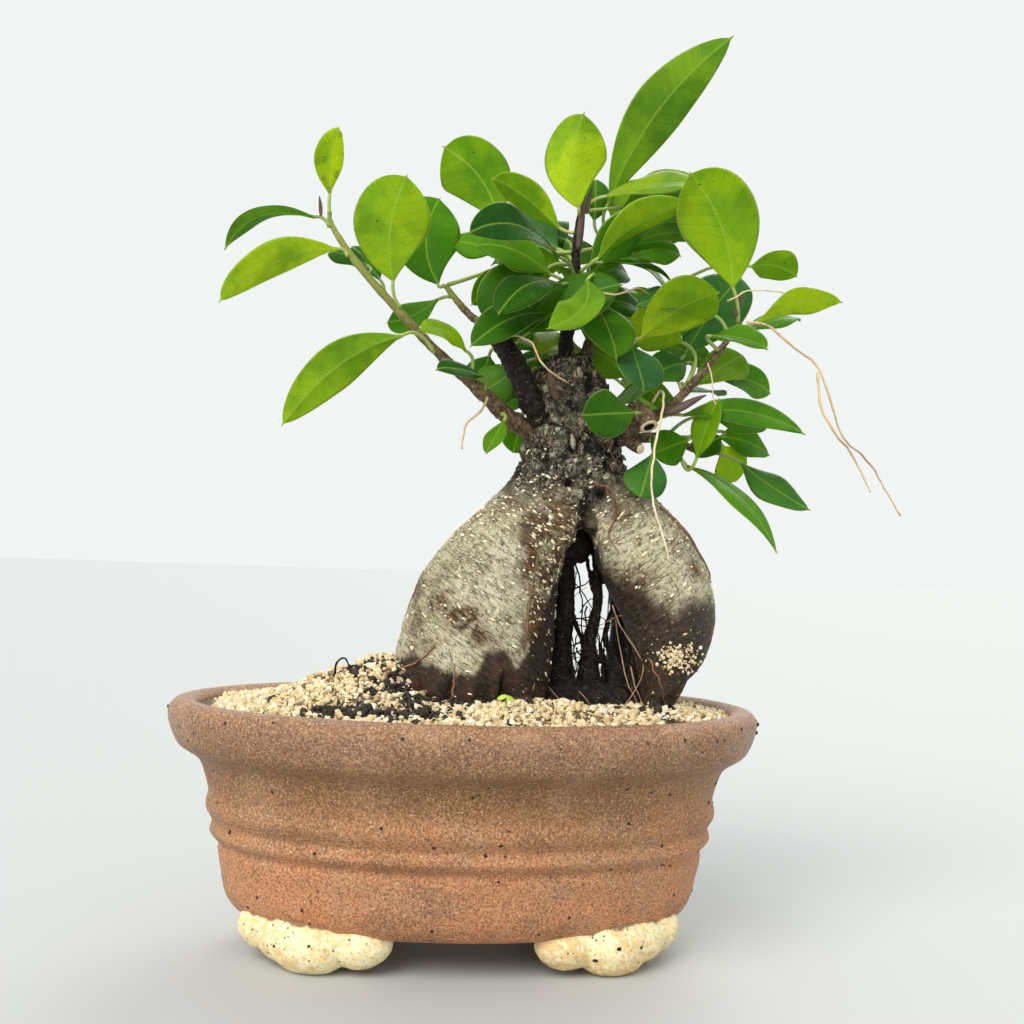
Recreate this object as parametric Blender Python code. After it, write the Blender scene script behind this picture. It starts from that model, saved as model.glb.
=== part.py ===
"""Ginseng ficus bonsai in a footed oval pot.

The tree is modelled in the pot's own frame (pot centre, table at z = 0, front at -Y), in millimetres,
and an empty then moves the whole object so that its box stands centred on the origin, in metres.
"""

import math

import bmesh
import bpy
from mathutils import Vector

MM = 0.001
GAP = 0.3  # clearance between touching pieces

# Where the middle of the object's box lies in the pot's frame
BOX_CENTRE = (18.8, 0.0)

# Pot
RIM_HALF_LENGTH = 85.0
RIM_HALF_WIDTH = 54.6
POT_SEGMENTS = 36
FLOOR_TOP = 15.0
UNDERSIDE = 9.65
# (height, how far inside the widest outline) from the underside up to the rim, then down the inner wall
OUTER_PROFILE = (
    (UNDERSIDE, 24.8),
    (10.5, 22.0),
    (12.9, 19.5),
    (17.0, 17.7),
    (24.0, 16.8),
    (28.0, 15.8),
    (30.7, 14.8),
    (33.5, 12.9),
    (35.8, 13.1),
    (39.0, 11.9),
    (45.5, 11.9),
    (49.3, 11.0),
    (53.0, 9.2),
    (56.4, 5.3),
    (59.0, 2.5),
    (62.0, 1.0),
    (66.0, 0.2),
    (69.0, 1.2),
    (70.0, 3.2),
)
INNER_PROFILE = (
    (69.8, 6.2),
    (68.6, 8.0),
    (66.0, 8.8),
    (60.0, 10.5),
    (56.0, 12.6),
    (50.0, 16.8),
    (38.0, 18.2),
    (24.0, 22.3),
    (18.0, 24.5),
    (FLOOR_TOP, 28.0),
)

# Drainage holes and their screens
DRAIN_X = 26.0
DRAIN_RADIUS = 6.5
SCREEN_SIDE = 24.0
SCREEN_CELLS = 3
SCREEN_WIRE = 0.8

# Feet: (x, y, lowest height, radius along the edge, radius across it) of the lobes of the front left foot
FOOT_TOP = UNDERSIDE - GAP
FOOT_LOBES = (
    (-41.0, -22.0, -1.6, 12.0, 8.6),
    (-52.8, -11.8, 3.4, 9.4, 7.6),
    (-27.5, -25.0, 1.9, 10.5, 6.8),
)

# Soil and sand
SOIL_TOP = 63.0
SAND_BOTTOM = SOIL_TOP + GAP
SAND_EDGE = 67.6
SAND_RINGS = 6
# (x, y, height, spread in x, spread in y) of the heaps that stand on the sand's level surface
SAND_HEAPS = (
    (-31.0, -6.0, 11.0, 15.0, 17.0),
    (25.0, -33.0, 6.5, 22.0, 9.0),
    (62.0, -15.0, 6.0, 11.0, 11.0),
    (8.0, 26.0, 4.0, 26.0, 12.0),
)

# Trunk limbs: rings of (x, y, z, half width in x, half depth in y)
LIMBS = (
    # left leg, from the soil up into the neck
    (
        (4, -1, 44, 5, 5),
        (2, -3, 56, 14, 12),
        (1, -4, 68, 21, 19),
        (1, -4, 80, 23.5, 21),
        (2, -4, 93, 22, 20.5),
        (5, -3, 106, 20.5, 19),
        (11, -2, 118, 17.5, 17),
        (19, -1, 129, 15, 15),
        (26, 0, 138, 13, 13),
    ),
    # right leg, a bulb that narrows to the ground
    (
        (51, -16, 46, 3, 3),
        (51.5, -16, 58, 4, 4.5),
        (52, -15, 69, 4.5, 6),
        (54, -13.5, 75, 6, 9),
        (56, -11, 81, 8.5, 12),
        (57.5, -9, 88, 11.5, 14.5),
        (57, -7, 96, 14, 17),
        (55, -5, 103, 15.5, 18),
        (52, -3, 112, 16.5, 18),
        (49.5, -1, 120, 15, 16.5),
        (42, 0, 129, 13.5, 15),
        (34, 0, 139, 11, 12),
    ),
    # back leg
    (
        (8, 24, 46, 4, 4),
        (7, 24, 60, 9, 8),
        (7, 23, 72, 13, 11),
        (9, 21, 88, 13.5, 11.5),
        (13, 17, 104, 12.5, 11),
        (20, 11, 119, 12, 10),
        (27, 5, 132, 11, 10),
    ),
    # neck and crown
    (
        (29, 0, 124, 17, 13),
        (28.5, 0, 132, 18, 14),
        (28, 0, 138, 16.2, 13.5),
        (28.5, 0, 149, 14.8, 12.5),
        (28, 0, 158, 13.2, 11.5),
        (26.5, 0, 166, 10.5, 9.5),
        (25.5, 0, 172, 6, 6),
        (25, 0, 175, 2.5, 2.5),
    ),
    # roots behind the arch
    ((30, 15, 122, 5, 4), (27, 13, 108, 4.5, 4), (26.5, 12, 92, 4.2, 4), (29, 11, 76, 5, 5), (30, 10, 56, 4, 4)),
    ((41, 9, 120, 4, 3), (38.5, 10, 106, 1.9, 1.9), (37, 9, 95, 1.7, 1.7), (41, 7, 82, 2.2, 2.2), (43, 5, 58, 3.4, 3)),
    ((45, 14, 124, 5, 5), (47, 17, 108, 4.6, 4.6), (48, 17, 92, 4.2, 4.2), (46, 15, 76, 5, 5), (46, 14, 57, 4, 4)),
    # root flares at the soil
    ((-14, -10, 60, 6, 6), (-12, -10, 68, 8, 8), (-8, -8, 78, 8, 8)),
    ((14, -16, 58, 6, 5), (13, -15, 68, 9, 7), (10, -11, 80, 9, 8)),
    ((33, 4, 60, 12, 6), (32, 5, 68, 12, 6), (30, 6, 74, 8, 5)),
)
TRUNK_VOXEL = 2.2
TRUNK_SMOOTHING = 6
TRUNK_KEPT = 0.17  # share of the remeshed faces that stay

# Woody stems: name, then (x, y, z, radius) along each
STEMS = {
    "branch_left": (
        (20, -1, 148, 3.0),
        (10, -3, 152, 2.6),
        (1, -7, 159, 2.2),
        (-8, -9, 166, 1.9),
        (-16, -9, 173, 1.7),
        (-26, -9, 183, 1.5),
        (-37, -8, 195, 1.3),
        (-44, -7, 205, 1.0),
        (-45, -7, 209, 0.7),
    ),
    "stub_branch_left": ((22, -3, 149, 3.6), (15, -7, 157, 3.4), (10, -6, 168, 3.3), (5, -3, 176, 2.8)),
    "branch_left_inner": ((3.5, -1.5, 179.6, 1.4), (-2, 1, 182, 1.3), (-6, 2.5, 186, 1.2), (-11, 3, 192, 0.9)),
    "leader_shoot": (
        (25, 0, 168, 2.4),
        (25.5, -1, 180, 2.0),
        (27.5, -2, 192, 1.6),
        (27, -2, 203, 1.3),
        (28, -2, 214, 1.0),
        (29, -2, 217, 0.5),
    ),
    "shoot_top_right": (
        (29, 5, 164, 2.2),
        (34, 6, 180, 1.8),
        (35, 5.5, 194, 1.5),
        (35, 5, 205, 1.2),
        (36.5, 4.5, 213, 0.8),
    ),
    "branch_right": (
        (36, -2, 150, 3.4),
        (48, -3, 153.5, 2.9),
        (56, -5, 158, 2.4),
        (63, -8, 166, 2.0),
        (69, -9, 174, 1.7),
        (75, -10, 183, 1.2),
    ),
    "branch_lower_right": ((34, 5, 147, 2.8), (46, 7, 149, 2.4), (58, 9, 150, 2.0), (70, 10, 146, 1.2)),
    "branch_back": ((27, 8, 157, 2.8), (32, 20, 163, 2.3), (41, 31, 172, 1.9), (52, 40, 184, 1.1)),
    "pruned_stub": ((44, -9.2, 155.6, 2.9), (46.5, -12.5, 154.6, 2.7), (48, -15, 150.5, 2.6)),
}

# Bare roots: name, then (x, y, z) along each
AERIAL_ROOT_RADIUS = 0.55
AERIAL_ROOTS = {
    "aerial_root_front": (
        (50, -8.3, 158.6),
        (51.5, -13, 161.4),
        (51.5, -17, 157),
        (49, -19, 144),
        (48, -21, 135),
        (48.5, -24, 127),
        (51, -25, 119),
        (52.5, -25.5, 113),
    ),
    "aerial_root_right_long": (
        (76, -13, 182.6),
        (83, -14, 181),
        (88, -16, 176),
        (95, -17, 171),
        (98, -18, 165),
        (102, -19, 152),
        (105, -19, 148),
        (112, -18, 142),
        (122, -16, 128),
    ),
    "aerial_root_right_short": (
        (95.6, -18.8, 168),
        (96, -20.5, 158),
        (100, -22, 150),
        (104, -22, 146),
        (107, -23, 140),
        (110, -24, 134),
    ),
    "aerial_root_left": ((2, -10.6, 157.5), (0, -14, 153), (-4, -15, 149), (-5, -15, 142)),
}

# Leaves: name, stem, share of the stem's length where it grows, blade base, tip, width,
# where the upper side faces, how the middle bows from a straight line, fold of each half in degrees
LEAVES = (
    ("leaf_left_01", "branch_left", 0.99, (-45, -8, 214), (-43, -10, 233), 9, (0.4, -0.9, 0.1), (-1.6, 0, 0), 12),
    ("leaf_left_02", "branch_left", 0.94, (-49, -8, 207), (-73, -14, 195), 14, (0, 0.35, 0.9), (-3, 0, 3), 8),
    ("leaf_left_03", "branch_left", 0.82, (-42, -9, 198), (-74, -16, 180), 12.5, (0, 0.6, 0.8), (-1, 0, 3.5), 8),
    ("leaf_left_04", "branch_left", 0.60, (-26, -13, 189), (-23, -18, 218), 22, (0.1, 1, 0.1), (-2.8, 0, 0), 5),
    ("leaf_left_05", "branch_left_inner", 0.98, (-12, 6, 194), (-16, 14, 221), 17.5, (0, -0.9, 0.3), (-4, 0, -1), 8),
    ("leaf_left_06", "branch_left", 0.76, (-34, -3, 195), (-46, 4, 200), 8, (0.1, -0.8, 0.5), (0, 0, 1), 8),
    ("leaf_left_07", "branch_left", 0.42, (-23, -15, 173), (-54, -26, 145), 13, (0.3, 0.8, 0.5), (-1.5, 0, 4), 8),
    ("leaf_left_08", "branch_left_inner", 0.80, (-13, 5, 188), (-28, 8, 181), 13, (0.2, -0.7, 0.6), (0, 0, -2), 8),
    ("leaf_left_09", "branch_left", 0.30, (-5, -14, 170), (-18, -22, 174), 9.5, (0, -0.8, 0.6), (0.8, 0, 2), 10),
    ("leaf_left_10", "branch_left", 0.24, (0, -14, 163), (-13, -25, 163), 9, (0, -0.8, 0.6), (0, 0, 0.5), 10),
    ("leaf_left_11", "branch_left", 0.17, (7, -10, 151), (2, -14, 141), 8, (-0.6, -0.7, 0.2), (0, 0, 0), 10),
    ("leaf_left_12", "stub_branch_left", 0.75, (3, 6, 172), (1, 15, 159), 13, (-0.2, -0.9, 0.3), (0, 0, 1), 8),
    ("leaf_top_01", "leader_shoot", 0.70, (5, 12, 215), (-13, 18, 238), 22, (-0.2, 1, 0.2), (2, 0, 3), 6),
    ("leaf_top_02", "leader_shoot", 0.92, (27, -6, 215), (27, -12, 240), 19, (0, 0.9, 0.3), (-3, 0, 0), 26),
    ("leaf_top_03", "leader_shoot", 0.82, (22, -1, 210), (2, 3, 225), 12, (0, 0.6, 0.8), (0, 0, 1.5), 10),
    ("leaf_top_04", "leader_shoot", 0.52, (21, -10, 199), (-6, -26, 200), 13, (-0.1, -0.75, 0.65), (0, -3, 4), 10),
    ("leaf_top_05", "leader_shoot", 0.45, (22, -10, 191), (3, -24, 178), 13.5, (-0.2, -0.7, 0.7), (-1, 0, 4), 8),
    ("leaf_top_06", "leader_shoot", 0.34, (19, -6, 183), (-4, -18, 170), 13, (-0.3, -0.6, 0.7), (0, -1, 3), 8),
    ("leaf_top_07", "shoot_top_right", 0.60, (31, -13, 194), (18, -29, 176), 13, (-0.3, -0.8, 0.5), (3, -2, -2), 18),
    ("leaf_top_08", "shoot_top_right", 0.42, (34, -6, 188), (37, -20, 170), 14.5, (0.1, -0.9, 0.4), (0, 0, 2), 8),
    ("leaf_top_09", "shoot_top_right", 0.26, (43, -11, 174), (45, -21, 160), 15, (0.2, -1, 0.3), (0, 0, 0), 14),
    ("leaf_top_10", "pruned_stub", 0.5, (43, -18, 154), (27, -24, 152), 14, (0, -1, 0.2), (0, 0, 0), 6),
    ("leaf_top_11", "branch_lower_right", 0.52, (50, -11, 143), (45, -20, 130), 12.5, (-0.2, -1, 0.1), (0, 0, 0), 8),
    ("leaf_top_12", "shoot_top_right", 0.97, (37, 2, 219), (72, -4, 270), 17, (-0.2, 0.95, 0.2), (-4, 0, 2.5), 8),
    ("leaf_top_13", "shoot_top_right", 0.88, (41, 10, 215), (49, 18, 231), 13, (0.2, 0.8, 0.5), (0, 0, 0), 10),
    ("leaf_top_14", "shoot_top_right", 0.66, (35, -5, 201), (58, -16, 216), 13, (-0.3, 0.5, 0.8), (-2, 0, 2), 25),
    ("leaf_right_01", "branch_right", 0.98, (71, -15, 192), (56, -20, 223), 23, (0.2, 1, 0.2), (3, 0, 1.5), 6),
    ("leaf_right_02", "branch_right", 0.94, (80, -11, 183), (101, -22, 188), 12, (0, 0.5, 0.85), (0, 0, 3), 8),
    ("leaf_right_03", "branch_right", 0.80, (65, -17, 177), (78, -28, 172), 12, (0.2, -0.3, 0.9), (0, 0, 1), 38),
    ("leaf_right_04", "branch_back", 0.72, (66, 22, 178), (86, 28, 206), 20, (0, -0.9, 0.4), (0, 0, 2), 10),
    ("leaf_right_05", "shoot_top_right", 0.30, (46, -11, 177), (65, -24, 188), 21, (-0.2, 0.8, 0.55), (0, 0, 2), 16),
    ("leaf_right_06", "branch_right", 0.62, (71, 5, 167), (92, 16, 167), 11.5, (0, -0.3, 0.95), (0, 0, 2), 10),
    ("leaf_right_07", "branch_right", 0.42, (64, -11, 158), (93, -16, 150), 12, (0, 0.2, 1), (0, 0, 3), 8),
    ("leaf_right_08", "branch_lower_right", 0.85, (78, 16, 150), (95, 22, 147), 10.5, (0, -0.4, 0.9), (0, 0, 2), 10),
    ("leaf_right_09", "branch_lower_right", 0.98, (81, 6, 143), (100, -2, 129), 12, (0.2, -0.8, 0.5), (-1.5, 0, 0), 8),
    ("leaf_right_10", "branch_lower_right", 0.80, (64, 0, 139), (86, -14, 116), 9.5, (0.5, -0.5, 0.6), (2, -1, 3), 10),
)
LEAF_THICKNESS = 0.8
PETIOLE_RADIUS = 0.6
LEAF_WIDEST_AT = 0.55
# How far along the blade its cross-sections stand
LEAF_STATIONS = (0.0, 0.12, 0.32, 0.55, 0.78, 0.93, 1.0)

COLOURS = {
    "stoneware": ((0.30, 0.16, 0.10, 1), 0.55),
    "foot": ((0.80, 0.68, 0.44, 1), 0.75),
    "screen": ((0.10, 0.10, 0.11, 1), 0.6),
    "soil": ((0.03, 0.02, 0.015, 1), 0.95),
    "sand": ((0.72, 0.60, 0.42, 1), 0.9),
    "bark": ((0.25, 0.21, 0.15, 1), 0.8),
    "twig": ((0.20, 0.13, 0.07, 1), 0.7),
    "aerial_root": ((0.66, 0.50, 0.30, 1), 0.7),
    "leaf": ((0.12, 0.30, 0.05, 1), 0.4),
}


def clear_scene():
    for obj in list(bpy.data.objects):
        bpy.data.objects.remove(obj, do_unlink=True)


def material_for(name, colour, roughness):
    material = bpy.data.materials.new(name)
    material.use_nodes = True
    shader = material.node_tree.nodes["Principled BSDF"]
    shader.inputs["Base Color"].default_value = colour
    shader.inputs["Roughness"].default_value = roughness
    shader.inputs["Metallic"].default_value = 0.0
    return material


def object_from(name, bm, finish):
    """One object from a bmesh in millimetres, with a material of its own."""
    bmesh.ops.recalc_face_normals(bm, faces=bm.faces)
    bmesh.ops.scale(bm, vec=(MM, MM, MM), verts=bm.verts)
    mesh = bpy.data.meshes.new(name)
    bm.to_mesh(mesh)
    bm.free()
    mesh.shade_smooth()
    mesh.set_sharp_from_angle(angle=math.radians(50))
    if finish:
        colour, roughness = COLOURS[finish]
        mesh.materials.append(material_for(name, colour, roughness))
    obj = bpy.data.objects.new(name, mesh)
    bpy.context.scene.collection.objects.link(obj)
    return obj


def hide_cutter(obj):
    obj.hide_render = True
    obj.display_type = "WIRE"


def boolean(obj, other, operation):
    modifier = obj.modifiers.new(operation.lower() + "_" + other.name, "BOOLEAN")
    modifier.operation = operation
    modifier.object = other
    modifier.solver = "EXACT"


def skin_rings(bm, rings):
    """Joins rings of as many points each into a tube and closes its two ends."""
    loops = [[bm.verts.new(point) for point in ring] for ring in rings]
    count = len(loops[0])
    for low, high in zip(loops, loops[1:]):
        for i in range(count):
            j = (i + 1) % count
            bm.faces.new((low[i], low[j], high[j], high[i]))
    bm.faces.new(loops[0])
    bm.faces.new(loops[-1])


def ellipse(centre, half_x, half_y, z, segments):
    turns = (2 * math.pi * i / segments for i in range(segments))
    return [Vector((centre[0] + half_x * math.cos(a), centre[1] + half_y * math.sin(a), z)) for a in turns]


def rim_ring(inset, z, segments=POT_SEGMENTS):
    return ellipse((0, 0), RIM_HALF_LENGTH - inset, RIM_HALF_WIDTH - inset, z, segments)


def inner_inset(z):
    """How far inside the pot's widest outline its inner wall stands at this height."""
    for (high, near), (low, far) in zip(INNER_PROFILE, INNER_PROFILE[1:]):
        if low <= z <= high:
            return near + (far - near) * (high - z) / (high - low)
    raise ValueError("height outside the inner wall")


def make_pot():
    bm = bmesh.new()
    skin_rings(bm, [rim_ring(inset, z) for z, inset in OUTER_PROFILE + INNER_PROFILE])
    pot = object_from("pot_body", bm, "stoneware")
    for side, x in (("left", -DRAIN_X), ("right", DRAIN_X)):
        bm = bmesh.new()
        levels = (UNDERSIDE - 2, FLOOR_TOP + 2)
        skin_rings(bm, [ellipse((x, 0), DRAIN_RADIUS, DRAIN_RADIUS, z, 20) for z in levels])
        drill = object_from("drain_drill_" + side, bm, None)
        hide_cutter(drill)
        boolean(pot, drill, "DIFFERENCE")


def lobe(name, x, y, low, along, across, turn, finish):
    """A rounded lobe that reaches down to low and well above the foot's top."""
    bm = bmesh.new()
    bmesh.ops.create_uvsphere(bm, u_segments=14, v_segments=8, radius=1.0)
    height = FOOT_TOP - low
    for vert in bm.verts:
        px = vert.co.x * along
        py = vert.co.y * across
        vert.co = (
            x + px * math.cos(turn) - py * math.sin(turn),
            y + px * math.sin(turn) + py * math.cos(turn),
            FOOT_TOP - 1.0 + vert.co.z * (height - 1.0),
        )
    return object_from(name, bm, finish)


def box_object(name, low, high, finish=None):
    bm = bmesh.new()
    bmesh.ops.create_cube(bm, size=1.0)
    for vert in bm.verts:
        for axis in range(3):
            vert.co[axis] = (low[axis] + high[axis]) / 2 + vert.co[axis] * (high[axis] - low[axis])
    return object_from(name, bm, finish)


def make_feet():
    slab = box_object("foot_slab", (-90, -60, 0), (90, 60, FOOT_TOP))
    hide_cutter(slab)
    for across, depth_side in ((1, "front"), (-1, "back")):
        for along, length_side in ((1, "left"), (-1, "right")):
            name = "foot_" + depth_side + "_" + length_side
            foot = None
            for index, (x, y, low, long_radius, cross_radius) in enumerate(FOOT_LOBES):
                # each lobe lies along the pot's lower edge
                edge = math.atan2(-x * (RIM_HALF_WIDTH - 24.8) ** 2, y * (RIM_HALF_LENGTH - 24.8) ** 2)
                turn = edge * along * across
                piece_name = name if index == 0 else name + "_lobe_" + str(index)
                place = (along * x, across * y)
                piece = lobe(
                    piece_name, *place, low, long_radius, cross_radius, turn, None if index else "foot"
                )
                if foot is None:
                    foot = piece
                else:
                    hide_cutter(piece)
                    boolean(foot, piece, "UNION")
            boolean(foot, slab, "INTERSECT")


def make_screens():
    """Square wire screens on the pot's floor, over the drainage holes."""
    for side, x in (("left", -DRAIN_X), ("right", DRAIN_X)):
        step = SCREEN_SIDE / SCREEN_CELLS
        z = FLOOR_TOP + GAP
        bars = []
        for i in range(SCREEN_CELLS + 1):
            at = -SCREEN_SIDE / 2 + i * step
            bars.append((x + at, 0.0, SCREEN_WIRE / 2, SCREEN_SIDE / 2 + SCREEN_WIRE))
            bars.append((x, at, SCREEN_SIDE / 2 + SCREEN_WIRE, SCREEN_WIRE / 2))
        screen = None
        for index, (cx, cy, half_x, half_y) in enumerate(bars):
            name = "drainage_screen_" + side
            low = (cx - half_x, cy - half_y, z)
            high = (cx + half_x, cy + half_y, z + SCREEN_WIRE)
            if screen is None:
                screen = box_object(name, low, high, "screen")
                continue
            bar = box_object(name + "_bar_" + str(index), low, high)
            hide_cutter(bar)
            boolean(screen, bar, "UNION")


def make_soil(trunk_clearance):
    bm = bmesh.new()
    levels = (FLOOR_TOP + GAP, 18.0, 24.0, 38.0, 50.0, 56.0, SOIL_TOP)
    skin_rings(bm, [rim_ring(inner_inset(z) + 2 * GAP, z, 28) for z in levels])
    soil = object_from("potting_soil", bm, "soil")
    for side, x in (("left", -DRAIN_X), ("right", DRAIN_X)):
        reach = SCREEN_SIDE / 2 + SCREEN_WIRE + GAP
        pocket = box_object(
            "screen_pocket_" + side,
            (x - reach, -reach, FLOOR_TOP),
            (x + reach, reach, FLOOR_TOP + 2 * GAP + SCREEN_WIRE),
        )
        hide_cutter(pocket)
        boolean(soil, pocket, "DIFFERENCE")
    boolean(soil, trunk_clearance, "DIFFERENCE")


def sand_height(x, y, share):
    """Height of the sand at this place; share is 0 in the middle of the pot and 1 at its wall."""
    heaps = sum(
        height * math.exp(-(((x - cx) / spread_x) ** 2) / 2 - (((y - cy) / spread_y) ** 2) / 2)
        for cx, cy, height, spread_x, spread_y in SAND_HEAPS
    )
    return SAND_EDGE + 1.4 * (1 - share**2) + heaps * (1 - share**6)


def make_sand(trunk_clearance):
    bm = bmesh.new()
    rings = [rim_ring(inner_inset(SAND_BOTTOM) + 2 * GAP, SAND_BOTTOM, 34)]
    edge = rim_ring(inner_inset(SAND_EDGE) + 2 * GAP, SAND_EDGE, 34)
    for index in range(SAND_RINGS):
        share = 1 - index / SAND_RINGS
        rings.append([Vector((p.x * share, p.y * share, sand_height(p.x * share, p.y * share, share))) for p in edge])
    skin_rings(bm, rings)
    sand = object_from("sand_top_dressing", bm, "sand")
    boolean(sand, trunk_clearance, "DIFFERENCE")


def make_trunk():
    """The swollen roots and the neck grew as one piece. The second object is its clearance, a cutter."""
    bm = bmesh.new()
    for limb in LIMBS:
        skin_rings(bm, [ellipse((x, y), half_x, half_y, z, 20) for x, y, z, half_x, half_y in limb])
    trunk = object_from("trunk_and_roots", bm, "bark")
    clearance = bpy.data.objects.new("trunk_clearance", trunk.data.copy())
    bpy.context.scene.collection.objects.link(clearance)
    hide_cutter(clearance)
    for obj in (trunk, clearance):
        remesh = obj.modifiers.new("grown_together", "REMESH")
        remesh.mode = "VOXEL"
        remesh.voxel_size = TRUNK_VOXEL * MM
        remesh.use_smooth_shade = True
        smooth = obj.modifiers.new("rounded", "SMOOTH")
        smooth.factor = 0.5
        smooth.iterations = TRUNK_SMOOTHING
        reduce = obj.modifiers.new("fewer_faces", "DECIMATE")
        reduce.ratio = TRUNK_KEPT
    grow = clearance.modifiers.new("clearance", "DISPLACE")
    grow.strength = 1.5 * GAP * MM
    grow.mid_level = 0.0
    return clearance


def smooth_route(points, steps=2):
    """Catmull-Rom curve through points of any number of values, with steps points for each span."""
    points = [tuple(map(float, p)) for p in points]
    padded = [points[0]] + points + [points[-1]]
    route = []
    for a, b, c, d in zip(padded, padded[1:], padded[2:], padded[3:]):
        for step in range(steps):
            t = step / steps
            route.append(
                tuple(
                    0.5 * (2 * q + (r - p) * t + (2 * p - 5 * q + 4 * r - s) * t**2 + (3 * q - p - 3 * r + s) * t**3)
                    for p, q, r, s in zip(a, b, c, d)
                )
            )
    route.append(points[-1])
    return route


def tube(bm, route, radii, sides):
    """A closed tube along the route, its rings square to it and turning as little as they can."""
    route = [Vector(p) for p in route]
    tangents = []
    for i in range(len(route)):
        tangents.append((route[min(i + 1, len(route) - 1)] - route[max(i - 1, 0)]).normalized())
    side = tangents[0].orthogonal().normalized()
    rings = []
    for point, tangent, radius in zip(route, tangents, radii):
        side = (side - tangent * side.dot(tangent)).normalized()
        other = tangent.cross(side)
        turns = (2 * math.pi * i / sides for i in range(sides))
        rings.append([point + radius * (side * math.cos(a) + other * math.sin(a)) for a in turns])
    skin_rings(bm, rings)


def make_stems(trunk_clearance):
    for name, knots in STEMS.items():
        route = smooth_route(knots)
        bm = bmesh.new()
        tube(bm, [p[:3] for p in route], [p[3] for p in route], 8)
        stem = object_from(name, bm, "twig")
        boolean(stem, trunk_clearance, "DIFFERENCE")


def make_aerial_roots():
    for name, knots in AERIAL_ROOTS.items():
        route = smooth_route(knots)
        bm = bmesh.new()
        tube(bm, route, [AERIAL_ROOT_RADIUS] * len(route), 6)
        object_from(name, bm, "aerial_root")


def place_on_stem(stem, share):
    """The point, the direction and the radius at this share of a stem's length."""
    route = smooth_route(STEMS[stem], 8)
    points = [Vector(p[:3]) for p in route]
    lengths = [(b - a).length for a, b in zip(points, points[1:])]
    left = share * sum(lengths)
    for index, length in enumerate(lengths):
        if left <= length:
            t = left / length
            radius = route[index][3] * (1 - t) + route[index + 1][3] * t
            return points[index].lerp(points[index + 1], t), (points[index + 1] - points[index]).normalized(), radius
        left -= length
    return points[-1], (points[-1] - points[-2]).normalized(), route[-1][3]


def blade_half_width(t, width):
    """Half the width of a blade at this share of its length: widest past the middle, with a short tip."""
    power = math.log(0.5) / math.log(LEAF_WIDEST_AT)
    return max(PETIOLE_RADIUS, width / 2 * math.sin(math.pi * t**power) ** 0.75) if 0 < t < 1 else PETIOLE_RADIUS


def leaf_ring(centre, across, up, half_width, fold, half_thickness):
    """Eight points round a blade's cross-section, from its left edge over the upper side."""
    ring = []
    for u, side in ((-1, 0), (-0.5, 1), (0, 1), (0.5, 1), (1, 0), (0.5, -1), (0, -1), (-0.5, -1)):
        rise = abs(u) * half_width * math.sin(fold) + side * half_thickness
        ring.append(centre + across * (u * half_width * math.cos(fold)) + up * rise)
    return ring


def make_leaf(name, stem, share, base, tip, width, face, bow, fold):
    base = Vector(base)
    tip = Vector(tip)
    joint, stem_way, stem_radius = place_on_stem(stem, share)
    reach = (base - joint).normalized()
    slant = 1.0 if share > 0.95 else max(0.4, reach.cross(stem_way).length)
    start = joint + reach * ((stem_radius + PETIOLE_RADIUS + GAP) / slant)
    along = (tip - base).normalized()
    up = Vector(face)
    up = (up - along * up.dot(along)).normalized()
    across = along.cross(up)
    stalk_up = (up - reach * up.dot(reach)).normalized()
    stalk_across = reach.cross(stalk_up)
    rings = []
    for angle_up, angle_across, centre in (
        (stalk_up, stalk_across, start),
        ((stalk_up + up).normalized(), (stalk_across + across).normalized(), start.lerp(base, 0.6) - up * 0.4),
    ):
        ring = []
        for i in range(8):
            turn = math.pi - i * math.pi / 4
            ring.append(centre + PETIOLE_RADIUS * (angle_across * math.cos(turn) + angle_up * math.sin(turn)))
        rings.append(ring)
    for t in LEAF_STATIONS:
        centre = base.lerp(tip, t) + Vector(bow) * (4 * t * (1 - t))
        blend = min(1.0, t / 0.12)
        thickness = PETIOLE_RADIUS * (1 - blend) + LEAF_THICKNESS / 2 * blend
        tilt = math.radians(fold) * blend
        rings.append(leaf_ring(centre, across, up, blade_half_width(t, width), tilt, thickness))
    bm = bmesh.new()
    skin_rings(bm, rings)
    object_from(name, bm, "leaf")


def stand_on_origin():
    """Moves every piece so that the object's box stands centred on the origin."""
    root = bpy.data.objects.new("bonsai_root", None)
    bpy.context.scene.collection.objects.link(root)
    for obj in list(bpy.data.objects):
        if obj is not root:
            obj.parent = root
    root.location = (-BOX_CENTRE[0] * MM, -BOX_CENTRE[1] * MM, 0)


clear_scene()
make_pot()
make_feet()
make_screens()
clearance = make_trunk()
make_soil(clearance)
make_sand(clearance)
make_stems(clearance)
make_aerial_roots()
for leaf in LEAVES:
    make_leaf(*leaf)
stand_on_origin()
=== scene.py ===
"""Looks of the ginseng ficus bonsai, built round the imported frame.

Lengths here are millimetres in the pot's own frame: pot centre, table at z = 0, front at -Y.
metres() turns them into the frame's metres.
"""

import math

import bmesh
import bpy
import numpy as np
from mathutils import Matrix, Vector, noise
from mathutils.bvhtree import BVHTree


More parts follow.
